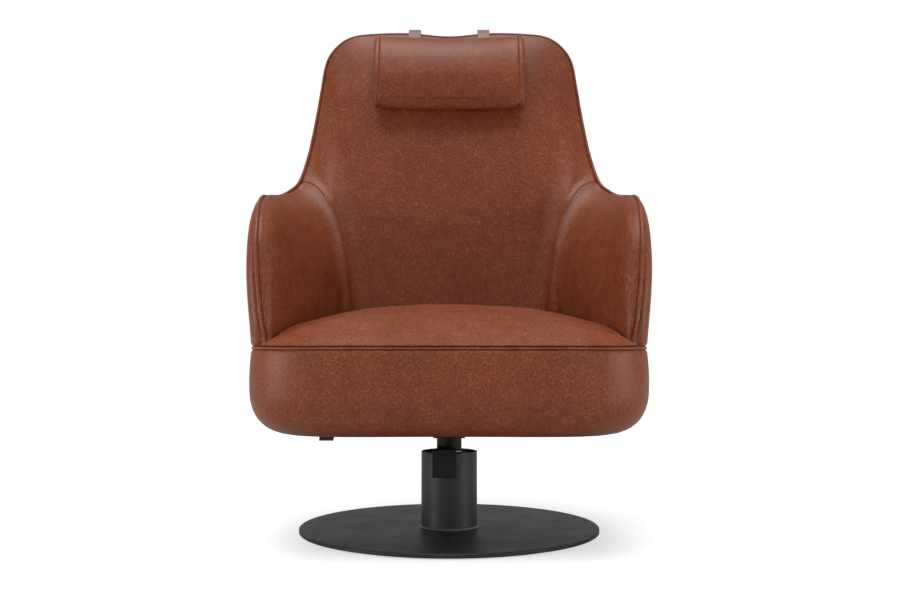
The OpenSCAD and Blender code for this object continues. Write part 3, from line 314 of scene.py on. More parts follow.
def shell_grid(places, depth=None):
    """Grid of points of the shell: a column at each place, with the rows from the seam up to the rim."""
    out = []
    for s in places:
        c = controls(s)
        out.append([shell_point(c, t, depth) for t in ROWS])
    return np.array(out)


def grid_normals(grid, axis, way):
    """Normals of a grid, turned so that the one near its middle points the given way along an axis."""
    normals = unit(np.cross(np.gradient(grid, axis=0), np.gradient(grid, axis=1)))
    return normals if normals[len(normals) // 2, MIDDLE_ROW][axis] * way > 0 else -normals


def edge_distance(grid, axis, last):
    """Distance from each point of a grid to one of its edges, along the grid."""
    steps = np.linalg.norm(np.diff(grid, axis=axis), axis=2)
    pad = [(0, 0), (0, 0)]
    pad[axis] = (1, 0)
    run = np.cumsum(np.pad(steps, pad), axis=axis)
    if not last:
        return run
    return np.take(run, [-1], axis=axis) - run


# Depth of the groove under the piping in a pad and in the cover, and the row at which it begins
PAD_GROOVE, COVER_GROOVE, GROOVE_BEGINS = 3.0, 4.5, 0.955
# Stations between which the roll over an arm's top begins and ends
ROLL_BEGINS, ROLL_ENDS = (9.9, 10.7), (12.3, 13.9)
ALL_EDGES = ((0, False), (0, True), (1, False), (1, True))


def tucked(grid, normals, *edges):
    """Draws a padded grid in along its sewn edges, where the leather is pulled down to the seam."""
    moved = grid.copy()
    for axis, last, depth, width in edges:
        d = edge_distance(grid, axis, last)
        moved -= normals * (depth * np.exp(-(d / width) ** FOLD_POWER))[..., None]
    return moved


def rim_groove(grid, depth=PAD_GROOVE):
    """Lowers the hidden side of a pad at the rim, so that the piping lies in a groove."""
    moved = grid.copy()
    moved[..., 2] -= depth * smooth_step(ROWS, GROOVE_BEGINS, 1.0)[None, :]
    return moved


def arm_roll(s):
    """Share by which the piping lies outside the roll over an arm's top at a station."""
    r = np.abs(s)
    return smooth_step(r, *ROLL_BEGINS) * (1 - smooth_step(r, *ROLL_ENDS))


def sewn_share(grid, edges, width=8.0):
    """How firmly each point of a grid is held: 1 on its sewn edges, 0 further in."""
    held = np.zeros(grid.shape[:2])
    for axis, last in edges:
        held = np.maximum(held, np.exp(-(edge_distance(grid, axis, last) / width) ** 2))
    return held


# How stiff and heavy the leather is, and how hard the foam presses
LEATHER = {
    "quality": 4, "mass": 0.4, "tension_stiffness": 40, "compression_stiffness": 40, "shear_stiffness": 15,
    "bending_stiffness": 6, "vertex_group_mass": "sewn", "use_pressure": True, "uniform_pressure_force": 4}
# Distance inside its place at which leather starts, the most that foam moves it, the firmness below which it
# counts as loose, and the number of moments
SLACK, PILLOW_SLACK, MOST_FILL, LOOSE, LAST_MOMENT = 4.0, 3.0, 14.0, 0.1, 20


def vertex_values(data, kind):
    values = np.zeros(len(data.vertices) * 3)
    data.vertices.foreach_get(kind, values)
    return values.reshape(-1, 3)


def filled_out(points, build, held, slack=SLACK, evened=0):
    """Lets foam press the leather out: a cloth simulation with pressure, held where the leather is sewn down.

    The leather starts a little inside its place. The foam gives it back that much on average, and no point
    moves further than the most that foam gives. Foam under wide leather evens out the short folds."""
    trial = build(points)
    data, count = trial.data, held.size
    firm = held.reshape(-1, 1)
    start = points.reshape(-1, 3) - vertex_values(data, "normal")[:count] * slack * (1 - firm)
    place = vertex_values(data, "co")
    place[:count] = start * MM
    data.vertices.foreach_set("co", place.reshape(-1))
    sewn = trial.vertex_groups.new(name="sewn")
    for k, weight in enumerate(held.reshape(-1)):
        sewn.add([k], float(weight), "REPLACE")
    sewn.add(list(range(count, len(data.vertices))), 1.0, "REPLACE")
    cloth = trial.modifiers.new("leather", "CLOTH")
    for key, value in LEATHER.items():
        setattr(cloth.settings, key, value)
    cloth.settings.effector_weights.gravity = 0
    cloth.collision_settings.use_collision = False
    cloth.point_cache.frame_start, cloth.point_cache.frame_end = 1, LAST_MOMENT
    for moment in range(1, LAST_MOMENT + 1):
        bpy.context.scene.frame_set(moment)
    shaped = trial.evaluated_get(bpy.context.evaluated_depsgraph_get()).data
    moved = vertex_values(shaped, "co")[:count] / MM - start
    reach = np.linalg.norm(moved, axis=1, keepdims=True)
    moved *= min(1, slack / max(np.mean(reach[firm < LOOSE]), LEAST))
    reach = np.linalg.norm(moved, axis=1, keepdims=True)
    moved *= np.minimum(1, MOST_FILL / np.maximum(reach, LEAST))
    moved = moved.reshape(points.shape)
    for _ in range(evened):
        moved[1:-1] = (moved[:-2] + 2 * moved[1:-1] + moved[2:]) / 4
        moved[:, 1:-1] = (moved[:, :-2] + 2 * moved[:, 1:-1] + moved[:, 2:]) / 4
    bpy.data.objects.remove(trial)
    bpy.data.meshes.remove(data)
    bpy.context.scene.frame_set(1)
    return start.reshape(points.shape) + moved


# Distances from a sewn end at which a grid has further stations
SEWN_STEPS = (0.012, 0.03, 0.055, 0.09, 0.14)


def fine_places(first, last, *ends):
    """Places from first to last, closer together by the given sewn ends."""
    places = list(np.linspace(first, last, int(round((last - first) * PARTS_PER_STATION)) + 1))
    for end, way in ends:
        places += [end + way * d for d in SEWN_STEPS]
    return np.array(sorted(set(np.round(places, 4))))


# Back and arms

PAD_BEHIND = COVER_T + SHELL_T + SOFT_GAP
# Depth of each tuck at a sewn edge, and the width over which it fades
SIDE_TUCK, PAD_RIM_TUCK = (2.0, 3.2), (1.3, 4.0)
COVER_FOOT_TUCK, COVER_RIM_TUCK, COVER_SEAM_DEPTH, COVER_SEAM_WIDTH = (6.0, 3.8), (0.5, 2.5), 2.2, 4.0
# Width of the hold along the back pad's edges, and the passes that even out its short folds
BACK_HOLD, BACK_EVENED = 12.0, 24
back_places = fine_places(-PAD_SEAM, PAD_SEAM, (-PAD_SEAM, 1), (PAD_SEAM, -1))
back_front = shell_grid(back_places)
back_rear = shell_grid(back_places, PAD_BEHIND)
back_out = grid_normals(back_front, 1, -1)
back_front = filled_out(
    back_front[:, ::-1], lambda grid: thick_sheet("back_fill", grid, back_rear[:, ::-1]),
    sewn_share(back_front, ALL_EDGES, BACK_HOLD)[:, ::-1], evened=BACK_EVENED)[:, ::-1]
back_front = tucked(
    back_front, back_out, (0, False, *SIDE_TUCK), (0, True, *SIDE_TUCK), (1, True, *PAD_RIM_TUCK))
back_pad = thick_sheet("back_pad_leather", back_front[:, ::-1], rim_groove(back_rear)[:, ::-1])

ARM_BEGINS = PAD_SEAM + 0.02
# Bead along an arm's top: its height, its distance from the rim and its width
TOP_LIFT, TOP_LIFT_RUN, TOP_LIFT_WIDTH = 3.5, 8.0, 9.0
arm_places = fine_places(ARM_BEGINS, LAST, (ARM_BEGINS, 1))
arm_front = shell_grid(arm_places)
arm_rear = shell_grid(arm_places, PAD_BEHIND)
arm_out = grid_normals(arm_front, 0, -1)
arm_front = filled_out(
    arm_front[:, ::-1], lambda grid: thick_sheet("arm_fill", grid, arm_rear[:, ::-1]),
    sewn_share(arm_front, ALL_EDGES)[:, ::-1])[:, ::-1]
arm_front = tucked(arm_front, arm_out, (0, False, *SIDE_TUCK), (1, True, *PAD_RIM_TUCK))
rim_run = edge_distance(arm_front, 1, True)
top_lift = TOP_LIFT * np.exp(-((rim_run - TOP_LIFT_RUN) / TOP_LIFT_WIDTH) ** 2)
arm_front[..., 2] += arm_roll(arm_places)[:, None] * top_lift
right_arm = thick_sheet("right_arm_leather", arm_front[:, ::-1], rim_groove(arm_rear)[:, ::-1])
left_arm = thick_sheet("left_arm_leather", arm_front * MIRROR, rim_groove(arm_rear) * MIRROR)

# How far the outer cover's edge lies below the roll over an arm's top
ROLL_DROP, ROLL_DROP_WIDTH = 4.0, 7.0
cover_seams = [(seam, way) for seam in (-COVER_SEAM, COVER_SEAM) for way in (1, -1)]
cover_places = fine_places(-LAST, LAST, *cover_seams)
cover_front = shell_grid(cover_places, 0.0)
cover_rear = shell_grid(cover_places, COVER_T)
cover_out = grid_normals(cover_front, 1, 1)
for seam in (-COVER_SEAM, COVER_SEAM):
    d = np.linalg.norm(cover_front - shell_grid([seam], 0.0), axis=2)
    cover_front -= cover_out * (COVER_SEAM_DEPTH * np.exp(-(d / COVER_SEAM_WIDTH) ** FOLD_POWER))[..., None]
cover_front = tucked(cover_front, cover_out, (1, False, *COVER_FOOT_TUCK), (1, True, *COVER_RIM_TUCK))
rim_drop = np.exp(-(edge_distance(cover_front, 1, True) / ROLL_DROP_WIDTH) ** FOLD_POWER)
cover_front[..., 2] -= arm_roll(cover_places)[:, None] * ROLL_DROP * rim_drop
outer_cover = thick_sheet("outer_cover_leather", cover_front, rim_groove(cover_rear, COVER_GROOVE))

# The piping's height over the rim, and how far it sinks and moves out over the arms' tops; it goes on past
# its last points into the seat's seam
PIPING_RISE, PIPING_SINK, PIPING_SIDE, PIPING_SIDES = 0.5, 2.5, 3.2, 14
TUCKED_ENDS = (3, 6, 9)


def piping_point(s):
    """Point of the rim piping's middle line; over the arms' tops it lies lower and further out."""
    along = rim_middle(controls(min(s + 0.5, LAST))) - rim_middle(controls(max(s - 0.5, -LAST)))
    c = controls(s)
    side = unit(c[3] - c[7])
    out = float(arm_roll(s))
    up = unit(np.cross(along, side))
    return rim_middle(c) + up * (PIPING_RISE - PIPING_SINK * out) + side * (PIPING_SIDE * out)


rim_path = [piping_point(s) for s in np.linspace(-LAST, LAST, 2 * LAST * RIM_PARTS_PER_STATION + 1)]
first_run, last_run = unit(rim_path[0] - rim_path[4]), unit(rim_path[-1] - rim_path[-5])
rim_path = ([rim_path[0] + first_run * d for d in TUCKED_ENDS[::-1]] + rim_path
            + [rim_path[-1] + last_run * d for d in TUCKED_ENDS])
rim_piping = tube("rim_piping_leather", rim_path, RIM_PIPING / 2, PIPING_SIDES)


# Seat body

TURN_STEP = 2.0
angles = [math.radians(a) for a in np.arange(0, 360, TURN_STEP)]
# Border's top corner, where the leather turns in to the seam: distance in, and drop below the seam
SEWN_CORNER = ((6.6, 0.0), (5.3, 0.6), (4.1, 1.7), (2.7, 3.1), (1.3, 5.0), (0.0, 7.8))
CORNER_DROP, FOAM_SWELL = 7.8, 0.4
# Rows down the border's side, and round its lower corner
SIDE_SHARES = (0.1, 0.2, 0.32, 0.45, 0.6, 0.75, 0.9)
ROUND_SHARES = np.concatenate([np.linspace(0, 0.85, 11), [0.91, 0.955, 0.985, 1]])
# Inside of the border: heights over its lower edge, drops below the side rails' underside, and a share of
# their width
LIP_RISE, LIP_ROOT_RISE, RAIL_DROP, RAIL_SIDE_DROP, RAIL_SHARE = 3.5, 4.9, 10.5, 3.5, 0.4


def border_ring(a):
    """Section of the seat's border at an angle: outside from the sewn corner down, then inside back up."""
    top = seam_height(a)
    round_z, depth = SEAT_Z + LOWER_ROUND, LOWER_ROUND + SEAT_SWELL
    outer = [(inset, top - drop) for inset, drop in SEWN_CORNER]
    for f in SIDE_SHARES:
        bulge = SEAT_SWELL * (1 - (1 - f) ** 2)
        low = top - CORNER_DROP - (top - CORNER_DROP - round_z) * f
        outer.append((-bulge - FOAM_SWELL * math.sin(f * math.pi), low))
    for h in ROUND_SHARES:
        inward = 1 - (1 - h ** LOWER_SQUARE) ** (1 / LOWER_SQUARE)
        outer.append((depth * inward - SEAT_SWELL, round_z - h * LOWER_ROUND))
    outer.append((LOWER_ROUND + LIP, SEAT_Z))
    inner = [
        (LOWER_ROUND + LIP, SEAT_Z + LIP_RISE), (LOWER_ROUND, SEAT_Z + LIP_ROOT_RISE),
        (BORDER_T + RAIL_T * RAIL_SHARE, RAIL_Z - RAIL_DROP), (BORDER_T, RAIL_Z - RAIL_SIDE_DROP),
        (BORDER_T, top)]
    out = []
    for inset, z in outer + inner:
        x, y = plan_point(a, inset)
        out.append((x, y, z))
    return out


seat_border = ring_piece("seat_border_leather", [border_ring(a)[::-1] for a in angles], True)


# Gap round the seat cushion, and its growth towards the arms' front feet
CUSHION_GAP, FRONT_GAP, FRONT_GAP_POWER = 1.2, 8, 12
# Degrees round the seat between which the cushion's outline is the border's own
FRONT_TURNS = (230, 129.9)
TOP_SHARES = np.concatenate([np.linspace(0.04, 0.9, 24), [0.93, 0.955, 0.975, 0.99, 1]])
# Rings from the cushion's sewn edge inward: distance in, height over the seam, and 0 at the seam, 1 on the
# border's top, 2 on the cushion's underside
UNDERSIDE = ((2.6, 3.8, 0), (4.2, 2.1, 0), (6.2, 0, 0), (15, 0, 0), (31, 0, 0), (32.5, 0, 1), (68, 0, 1),
             (69, 0, 2), (150, 0, 2))
# How firmly the last rings of the cushion's top are held
EDGE_HOLD = (0.3, 0.6, 1.0)
# Depth of the cushion's underside below the seam, and the least share to which its rings close
UNDERSIDE_DROP, LEAST_SHARE = 20, 0.05


def well_outline():
    """Outline of the seat cushion: inside the arms and the back, and along the seat's front."""
    out = []
    for s in np.linspace(LAST, -LAST, 2 * LAST * WELL_PARTS_PER_STATION + 1):
        p = controls(s)[4]
        inset = CUSHION_GAP + FRONT_GAP * (abs(s) / LAST) ** FRONT_GAP_POWER
        v = np.array([p[0], p[1] - PLAN_Y])
        q = v * (1 - inset / np.linalg.norm(v))
        out.append((q[0], q[1] + PLAN_Y))
    for a in np.arange(*FRONT_TURNS, -TURN_STEP):
        out.append(plan_point(math.radians(a)))
    return out


def cushion_rings():
    outline = well_outline()
    rings = []
    for share in TOP_SHARES:
        ring = []
        for x, y in outline:
            qx, qy = x * share, PLAN_Y + (y - PLAN_Y) * share
            ring.append((qx, qy, crown_height(qx, qy)))
        rings.append(ring)
    for inset, rise, low in UNDERSIDE:
        ring = []
        for x, y in outline:
            v = np.array([x, y - PLAN_Y])
            q = v * max(LEAST_SHARE, 1 - inset / np.linalg.norm(v))
            seat_on = seam_height(plan_angle(x, y)) + SOFT_GAP + rise
            z = (seat_on, SEAM_Z + SOFT_GAP, SEAM_Z - UNDERSIDE_DROP + SOFT_GAP)[low]
            ring.append((q[0], q[1] + PLAN_Y, z))
        rings.append(ring)
    return rings


cushion_points = np.array([r[::-1] for r in cushion_rings()])
cushion_held = np.zeros(cushion_points.shape[:2])
top_rings = len(TOP_SHARES)
cushion_held[top_rings - len(EDGE_HOLD):top_rings] = np.array(EDGE_HOLD)[:, None]
cushion_held[top_rings:] = 1.0
cushion_points = filled_out(
    cushion_points, lambda rings: ring_piece("cushion_fill", rings, False), cushion_held)
seat_cushion = ring_piece("seat_cushion_leather", cushion_points, False)

SEAT_PIPING_INSET, SEAT_PIPING_SIDES = 2.4, 12
seat_path = [(*plan_point(a, SEAT_PIPING_INSET), seam_height(a)) for a in angles]
seat_piping = tube("seat_piping_leather", seat_path, SEAT_PIPING / 2, SEAT_PIPING_SIDES, True)


# Headrest

# Two places on the back between which the pillow's lean is measured
PLACE_TOP, PLACE_LOW = 0.86, 0.68


def pillow_place():
    """The pillow's lean and its middle, so that it lies along the back over the straps."""
    top, low = curve_at(controls(0)[4:], PLACE_TOP), curve_at(controls(0)[4:], PLACE_LOW)
    slope = unit(top - low)
    lean = math.atan2(slope[1], slope[2])
    stand = STRAP_T + 2 * STRAP_LIFT + 4 * SOFT_GAP + PILLOW_CLEAR
    z = RIM_TOP_Z - PILLOW_DROP - PILLOW_H / 2 * math.cos(lean)
    y = low[1] + (z - low[2]) / (top[2] - low[2]) * (top[1] - low[1]) - stand
    return lean, np.array([0, y, z])


pillow_lean, pillow_middle = pillow_place()


def on_back(points):
    """Moves points from the pillow's own place to the leaning back."""
    p = np.asarray(points, float)
    c, s = math.cos(-pillow_lean), math.sin(-pillow_lean)
    y, z = p[..., 1] * c - p[..., 2] * s, p[..., 1] * s + p[..., 2] * c
    return np.stack([p[..., 0], y, z], -1) + pillow_middle


# Distance of the pillow's end seams from its middle, the place of its low seam in degrees round the
# section, and the section's points, closer together by that seam
GUSSET_X, LOW_SEAM_TURN = 152.0, 230.7
PILLOW_TURNS = sorted(
    [t for t in np.arange(0, 360, 3.75) if abs(t - LOW_SEAM_TURN) > 3.2]
    + [LOW_SEAM_TURN + d for d in (-2.6, -1.9, -1.3, -0.85, -0.4, 0, 0.4, 0.85, 1.3, 1.9, 2.6)])
# Squareness of the pillow's section, its ease in height, and how far its ends bend back
PILLOW_SQUARE, PILLOW_EASE, END_BEND = 2.7, 3, 6
# Low seam: its width in degrees, its depth at the ends and more in the middle, its half length, and where
# the leather puffs up beside it
SEAM_TURN, SEAM_SHALLOW, SEAM_DEEPER, SEAM_HALF_RUN, SEAM_PUFF = 0.6, 0.3, 0.9, 90, 2.4
# How the pillow's ends close: growth of the section, and distance out from the end seam
END_STEPS = (
    (0.006, 1.2), (0.012, 2.6), (0.014, 4.8), (0.004, 7.4), (-0.025, 9.8), (-0.08, 11.6), (-0.19, 12.6),
    (-0.4, 13), (-0.7, 13), (-0.95, 13))
# Width of the hold beside the end seams
END_HOLD = 10.0
# The pillow's front: its crown's share at the ends and more in the middle, and how round it is
FRONT_END_SHARE, FRONT_MORE_SHARE, FRONT_ROUND, FRONT_FLAT = 0.55, 0.45, 1.2, 2.6
# Its top and low edge: how high each lies at the ends, and how far it bows down in the middle
TOP_LIES, TOP_BOW, LOW_LIES, LOW_BOW = 3.5, 6.0, 4.0, 7.0
# End seam and the line of stitches beside it: distance in, share drawn in, and width
END_SEAMS = ((0, 0.022, 1.9), (4.5, 0.010, 1.2))
# Sections by the ends, and the half length and number of the even ones between them
END_PLACES, EVEN_HALF, EVEN_COUNT = (146.2, 147.5, 148.8, 150, 151, 152), 144, 64
# Depths, as shares of the edge, between which the pillow's flat back starts to be held
BACK_HELD_SHARES = (0.75, 0.35)


def pillow_section(x):
    """Section of the pillow at a distance from its middle: a ring of points round a tight roll of foam."""
    half_h = PILLOW_H / 2
    bow = 1 - (x / GUSSET_X) ** 2
    ring = []
    for turn in PILLOW_TURNS:
        c, s = math.cos(math.radians(turn)), math.sin(math.radians(turn))
        r = (abs(c) ** PILLOW_SQUARE + abs(s) ** PILLOW_SQUARE) ** (-1 / PILLOW_SQUARE)
        y = -PILLOW_EDGE / 2 + c * r * PILLOW_EDGE / 2
        z = s * r * (half_h - PILLOW_EASE)
        if y < -PILLOW_EDGE / 2:
            crown = (PILLOW_T - PILLOW_EDGE) * (FRONT_END_SHARE + FRONT_MORE_SHARE * max(0.0, bow) ** 0.5)
            y -= crown * abs(c * r) ** FRONT_ROUND * (1 - (abs(z) / half_h) ** FRONT_FLAT)
        z += TOP_LIES - TOP_BOW * bow if z > 0 else LOW_LIES - LOW_BOW * bow
        y += END_BEND * (x / (PILLOW_W / 2)) ** 2
        ring.append((x, y, z))
    return np.array(ring)


def pillow_seams(rings, count):
    """Draws the pillow in at its end seams and at the seam along its low edge, where it is closed."""
    out = rings.copy()
    for i in range(count, len(rings) - count):
        middle = rings[i].mean(0)
        x = abs(middle[0])
        pull = sum(share * math.exp(-((GUSSET_X - inset - x) / width) ** 2)
                   for inset, share, width in END_SEAMS)
        out[i] = middle + (rings[i] - middle) * (1 - pull)
        seam = (np.array(PILLOW_TURNS) - LOW_SEAM_TURN) / SEAM_TURN
        depth = SEAM_SHALLOW + SEAM_DEEPER * max(0.0, 1 - (x / SEAM_HALF_RUN) ** 4)
        out[i][:, 1] += depth * np.exp(-seam ** 2) - 0.5 * depth * np.exp(-(seam - SEAM_PUFF) ** 2)
    return out


pillow_x = np.concatenate([
    [-x for x in END_PLACES[::-1]], np.linspace(-EVEN_HALF, EVEN_HALF, EVEN_COUNT), END_PLACES])
ends = []
for way in (-1, 1):
    base_ring = pillow_section(GUSSET_X * way)
    middle = base_ring.mean(0)
    rings = []
    for grow, out_by in END_STEPS:
        ring = middle + (base_ring - middle) * (1 + grow)
        ring[:, 0] = (GUSSET_X + out_by) * way
        rings.append(ring)
    ends.append(rings)
pillow_rings = np.array(ends[0][::-1] + [pillow_section(x) for x in pillow_x] + ends[1])
pillow_held = np.exp(-((GUSSET_X - np.abs(pillow_rings[..., 0])) / END_HOLD) ** 2)
pillow_held[np.abs(pillow_rings[..., 0]) >= GUSSET_X] = 1.0
back_hold = smooth_step(pillow_rings[..., 1], *(-PILLOW_EDGE * share for share in BACK_HELD_SHARES))
pillow_held = np.maximum(pillow_held, back_hold)
pillow_rings = filled_out(
    pillow_rings, lambda rings: ring_piece("pillow_fill", rings, False), pillow_held, PILLOW_SLACK)
pillow_rings = pillow_seams(pillow_rings, len(ends[0]))
headrest_pillow = ring_piece("headrest_pillow_leather", [on_back(r) for r in pillow_rings], False)


# Places on the back at which a strap begins, leaves for the rim and ends, and its steps
STRAP_BEGINS, STRAP_TOP, STRAP_ENDS, STRAP_AHEAD, STRAP_STEPS, STRAP_EVENED = 0.64, 0.96, 0.62, 0.01, 30, 4
# Points of a strap's line that are evened out over the rim
FIRST_BENT, LAST_BENT = 22, 42
# A strap's section: its edges are cut off slantwise, and its outer face rises a little inside them
EDGE_CUT, EDGE_IN, FACE_IN, FACE_RISE = 0.6, 0.5, 2.5, 0.05


def strap_path():
    """Middle line of a strap in the plane along the chair: up the back, over the rim and down behind."""
    c = controls(STRAP_STATION)

    def stop(t, way):
        part = c[4:] if way > 0 else c[:4]
        p, q = curve_at(part, t)[1:], curve_at(part, t + STRAP_AHEAD * way)[1:]
        along = unit(q - p)
        out = np.array([along[1], -along[0]])
        return p - out * (STRAP_LIFT + (RIM_PIPING + SOFT_GAP) * t ** STRAP_POWER + STRAP_T / 2)
    front = [stop(t, 1) for t in np.linspace(STRAP_BEGINS, STRAP_TOP, STRAP_STEPS)]
    rear = [stop(t, -1) for t in np.linspace(STRAP_TOP, STRAP_ENDS, STRAP_STEPS)]
    loop_rise = RIM_PIPING + 4 * SOFT_GAP + STRAP_T / 2 + STRAP_LOOP
    over = [rim_middle(c)[1:] + np.array([y, loop_rise]) for y in (-STRAP_LOOP, 0, STRAP_LOOP)]
    line = np.array(front + over + rear)
    for _ in range(STRAP_EVENED):
        before, after = line[FIRST_BENT - 1:LAST_BENT - 1], line[FIRST_BENT + 1:LAST_BENT + 1]
        line[FIRST_BENT:LAST_BENT] = (before + 2 * line[FIRST_BENT:LAST_BENT] + after) / 4
    return line


def strap_piece(name, x):
    line = strap_path()
    ahead, behind = np.concatenate([line[1:], line[-1:]]), np.concatenate([line[:1], line[:-1]])
    along = unit(ahead - behind)
    out = np.stack([along[:, 1], -along[:, 0]], -1)
    half, t = STRAP_W / 2, STRAP_T / 2
    section = [
        (-half, -t + EDGE_CUT), (-half + EDGE_IN, -t), (half - EDGE_IN, -t), (half, -t + EDGE_CUT),
        (half, t - EDGE_CUT), (half - EDGE_IN, t), (half - FACE_IN, t + FACE_RISE), (0, t),
        (-half + FACE_IN, t + FACE_RISE), (-half + EDGE_IN, t), (-half, t - EDGE_CUT)]
    rings = [[(x + u, line[i][0] - out[i][0] * v, line[i][1] - out[i][1] * v) for u, v in section]
             for i in range(len(line))]
    return ring_piece(name, rings, False, STRAP_SHARP_TURN)


left_strap = strap_piece("left_strap_leather", -STRAP_PITCH / 2)
right_strap = strap_piece("right_strap_leather", STRAP_PITCH / 2)


# Materials

def socket(group, name, kind, value=None, out=False):
    s = group.interface.new_socket(name=name, in_out="OUTPUT" if out else "INPUT", socket_type=kind)
    if value is not None:
        s.default_value = value
    return s


class Nodes:
    """Small helper that adds nodes to a tree and links them."""

    def __init__(self, tree):
        self.tree = tree

    def add(self, kind, inputs=None, **settings):
        node = self.tree.nodes.new(kind)
        for key, value in settings.items():
            setattr(node, key, value)
        for key, value in (inputs or {}).items():
            self.put(node.inputs[key], value)
        return node

    def put(self, place, value):
        if isinstance(value, bpy.types.NodeSocket):
            self.tree.links.new(value, place)
        else:
            place.default_value = value

    def math(self, operation, a, b=0.0, c=0.0):
        return self.add("ShaderNodeMath", {0: a, 1: b, 2: c}, operation=operation).outputs[0]

    def span(self, value, low, high, to_low=0.0, to_high=1.0):
        node = self.add("ShaderNodeMapRange", {"Value": value, "From Min": low, "From Max": high,
                                               "To Min": to_low, "To Max": to_high})
        return node.outputs[0]

    def mix(self, share, a, b):
        node = self.tree.nodes.new("ShaderNodeMix")
        node.data_type = "RGBA"
        self.put(node.inputs[0], share)
        self.put(node.inputs[6], a)
        self.put(node.inputs[7], b)
        return node.outputs[2]

    def noise(self, at, scale, detail=3.0, rough=0.5):
        node = self.add("ShaderNodeTexNoise", {
            "Vector": at, "Scale": scale, "Detail": detail, "Roughness": rough})
        return node.outputs["Fac"]

    def stretched(self, at, scale):
        return self.add("ShaderNodeMapping", {"Vector": at, "Scale": scale}).outputs[0]

    def blend(self, a, b, share):
        """Sum of two values, the first at its share and the second at the rest."""
        return self.math("ADD", self.math("MULTIPLY", a, share), self.math("MULTIPLY", b, 1 - share))


def look_group(name, **tones):
    """A node group with a place and tones going in, and a colour, a gloss and a height coming out."""
    group = bpy.data.node_groups.new(name, "ShaderNodeTree")
    socket(group, "Place", "NodeSocketVector")
    for key, value in tones.items():
        socket(group, key, "NodeSocketColor", (*value, 1))
    socket(group, "Colour", "NodeSocketColor", out=True)
    socket(group, "Gloss", "NodeSocketFloat", out=True)
    socket(group, "Height", "NodeSocketFloat", out=True)
    return group, Nodes(group), group.nodes.new("NodeGroupInput").outputs


def give_out(n, colour, gloss, height):
    result = n.add("NodeGroupOutput")
    n.put(result.inputs["Colour"], colour)
    n.put(result.inputs["Gloss"], gloss)
    n.put(result.inputs["Height"], height)


def cracked_leather_group():
    """Pull-up leather: dark and light patches, a net of lighter cracks in its wax, and a fine grain."""
    group, n, given = look_group(
        "cracked_leather", Dark=(0.1, 0.03, 0.015), Light=(0.2, 0.06, 0.03), Crack=(0.3, 0.11, 0.055))
    at = given["Place"]
    wander = n.add("ShaderNodeTexNoise", {"Vector": at, "Scale": 85.0, "Detail": 3.0}).outputs["Color"]
    shift = n.add("ShaderNodeVectorMath", {0: wander, 1: (-0.5, -0.5, -0.5)}, operation="ADD").outputs[0]
    shift = n.add("ShaderNodeVectorMath", {0: shift, "Scale": 0.006}, operation="SCALE").outputs[0]
    bent = n.add("ShaderNodeVectorMath", {0: at, 1: shift}, operation="ADD").outputs[0]
    patches = n.noise(at, 8.0, 3.0, 0.5)
    clouds = n.noise(at, 32.0, 3.0, 0.6)
    cracks = []
    for scale, width in ((150.0, 0.085), (265.0, 0.09)):
        cell = n.add("ShaderNodeTexVoronoi", {"Vector": bent, "Scale": scale}, feature="DISTANCE_TO_EDGE")
        cracks.append(n.span(cell.outputs["Distance"], 0.0, width, 1.0, 0.0))
    where = n.span(n.blend(patches, clouds, 0.5), 0.4, 0.62)
    net = n.math("MAXIMUM", cracks[0], n.math("MULTIPLY", cracks[1], 0.6))
    broken = n.span(n.noise(at, 170.0, 2.0), 0.3, 0.55, 0.25, 1.0)
    mask = n.math("MULTIPLY", n.math("MULTIPLY", net, broken), n.span(where, 0.0, 1.0, 0.6, 0.95))
    tone = n.span(n.blend(patches, clouds, 0.55), 0.3, 0.7)
    fine = n.span(n.noise(at, 420.0, 3.0), 0.3, 0.7, 0.93, 1.07)
    body = n.mix(tone, given["Dark"], given["Light"])
    colour = n.mix(mask, body, given["Crack"])
    colour = n.add("ShaderNodeHueSaturation", {"Color": colour, "Value": fine}).outputs[0]
    pores = n.add("ShaderNodeTexVoronoi", {"Vector": at, "Scale": 800.0}).outputs["Distance"]
    height = n.math("SUBTRACT", n.math("MULTIPLY", pores, 0.3), n.math("MULTIPLY", net, 0.45))
    height = n.math("ADD", height, n.math("MULTIPLY", clouds, 0.5))
    gloss = n.span(n.math("ADD", mask, clouds), 0.3, 1.3, 0.41, 0.54)
    give_out(n, colour, gloss, height)
    return group


def powder_group():
    """Fine orange-peel of powder coat, with faint clouds in its tone."""
    group, n, given = look_group(
        "powder_coat", Low=(0.009, 0.009, 0.0095), High=(0.014, 0.014, 0.0145))
    at = given["Place"]
    grain = n.noise(at, 1500.0, 2.0)
    clouds = n.noise(at, 14.0, 4.0)
    colour = n.mix(n.span(clouds, 0.35, 0.65), given["Low"], given["High"])
    give_out(n, colour, n.span(clouds, 0.3, 0.7, 0.42, 0.52), grain)
    return group


def scratch_group():
    """Turned or drawn metal: fine lines, and dull patches where the zinc has aged."""
    group, n, given = look_group(
        "drawn_metal", Low=(0.3, 0.3, 0.31), High=(0.55, 0.55, 0.56))
    lines = n.noise(n.stretched(given["Place"], (40, 900, 900)), 1.0, 2.0)
    dull = n.noise(given["Place"], 45.0, 4.0)
    colour = n.mix(n.span(dull, 0.3, 0.7), given["Low"], given["High"])
    give_out(n, colour, n.span(dull, 0.3, 0.7, 0.3, 0.5), lines)
    return group


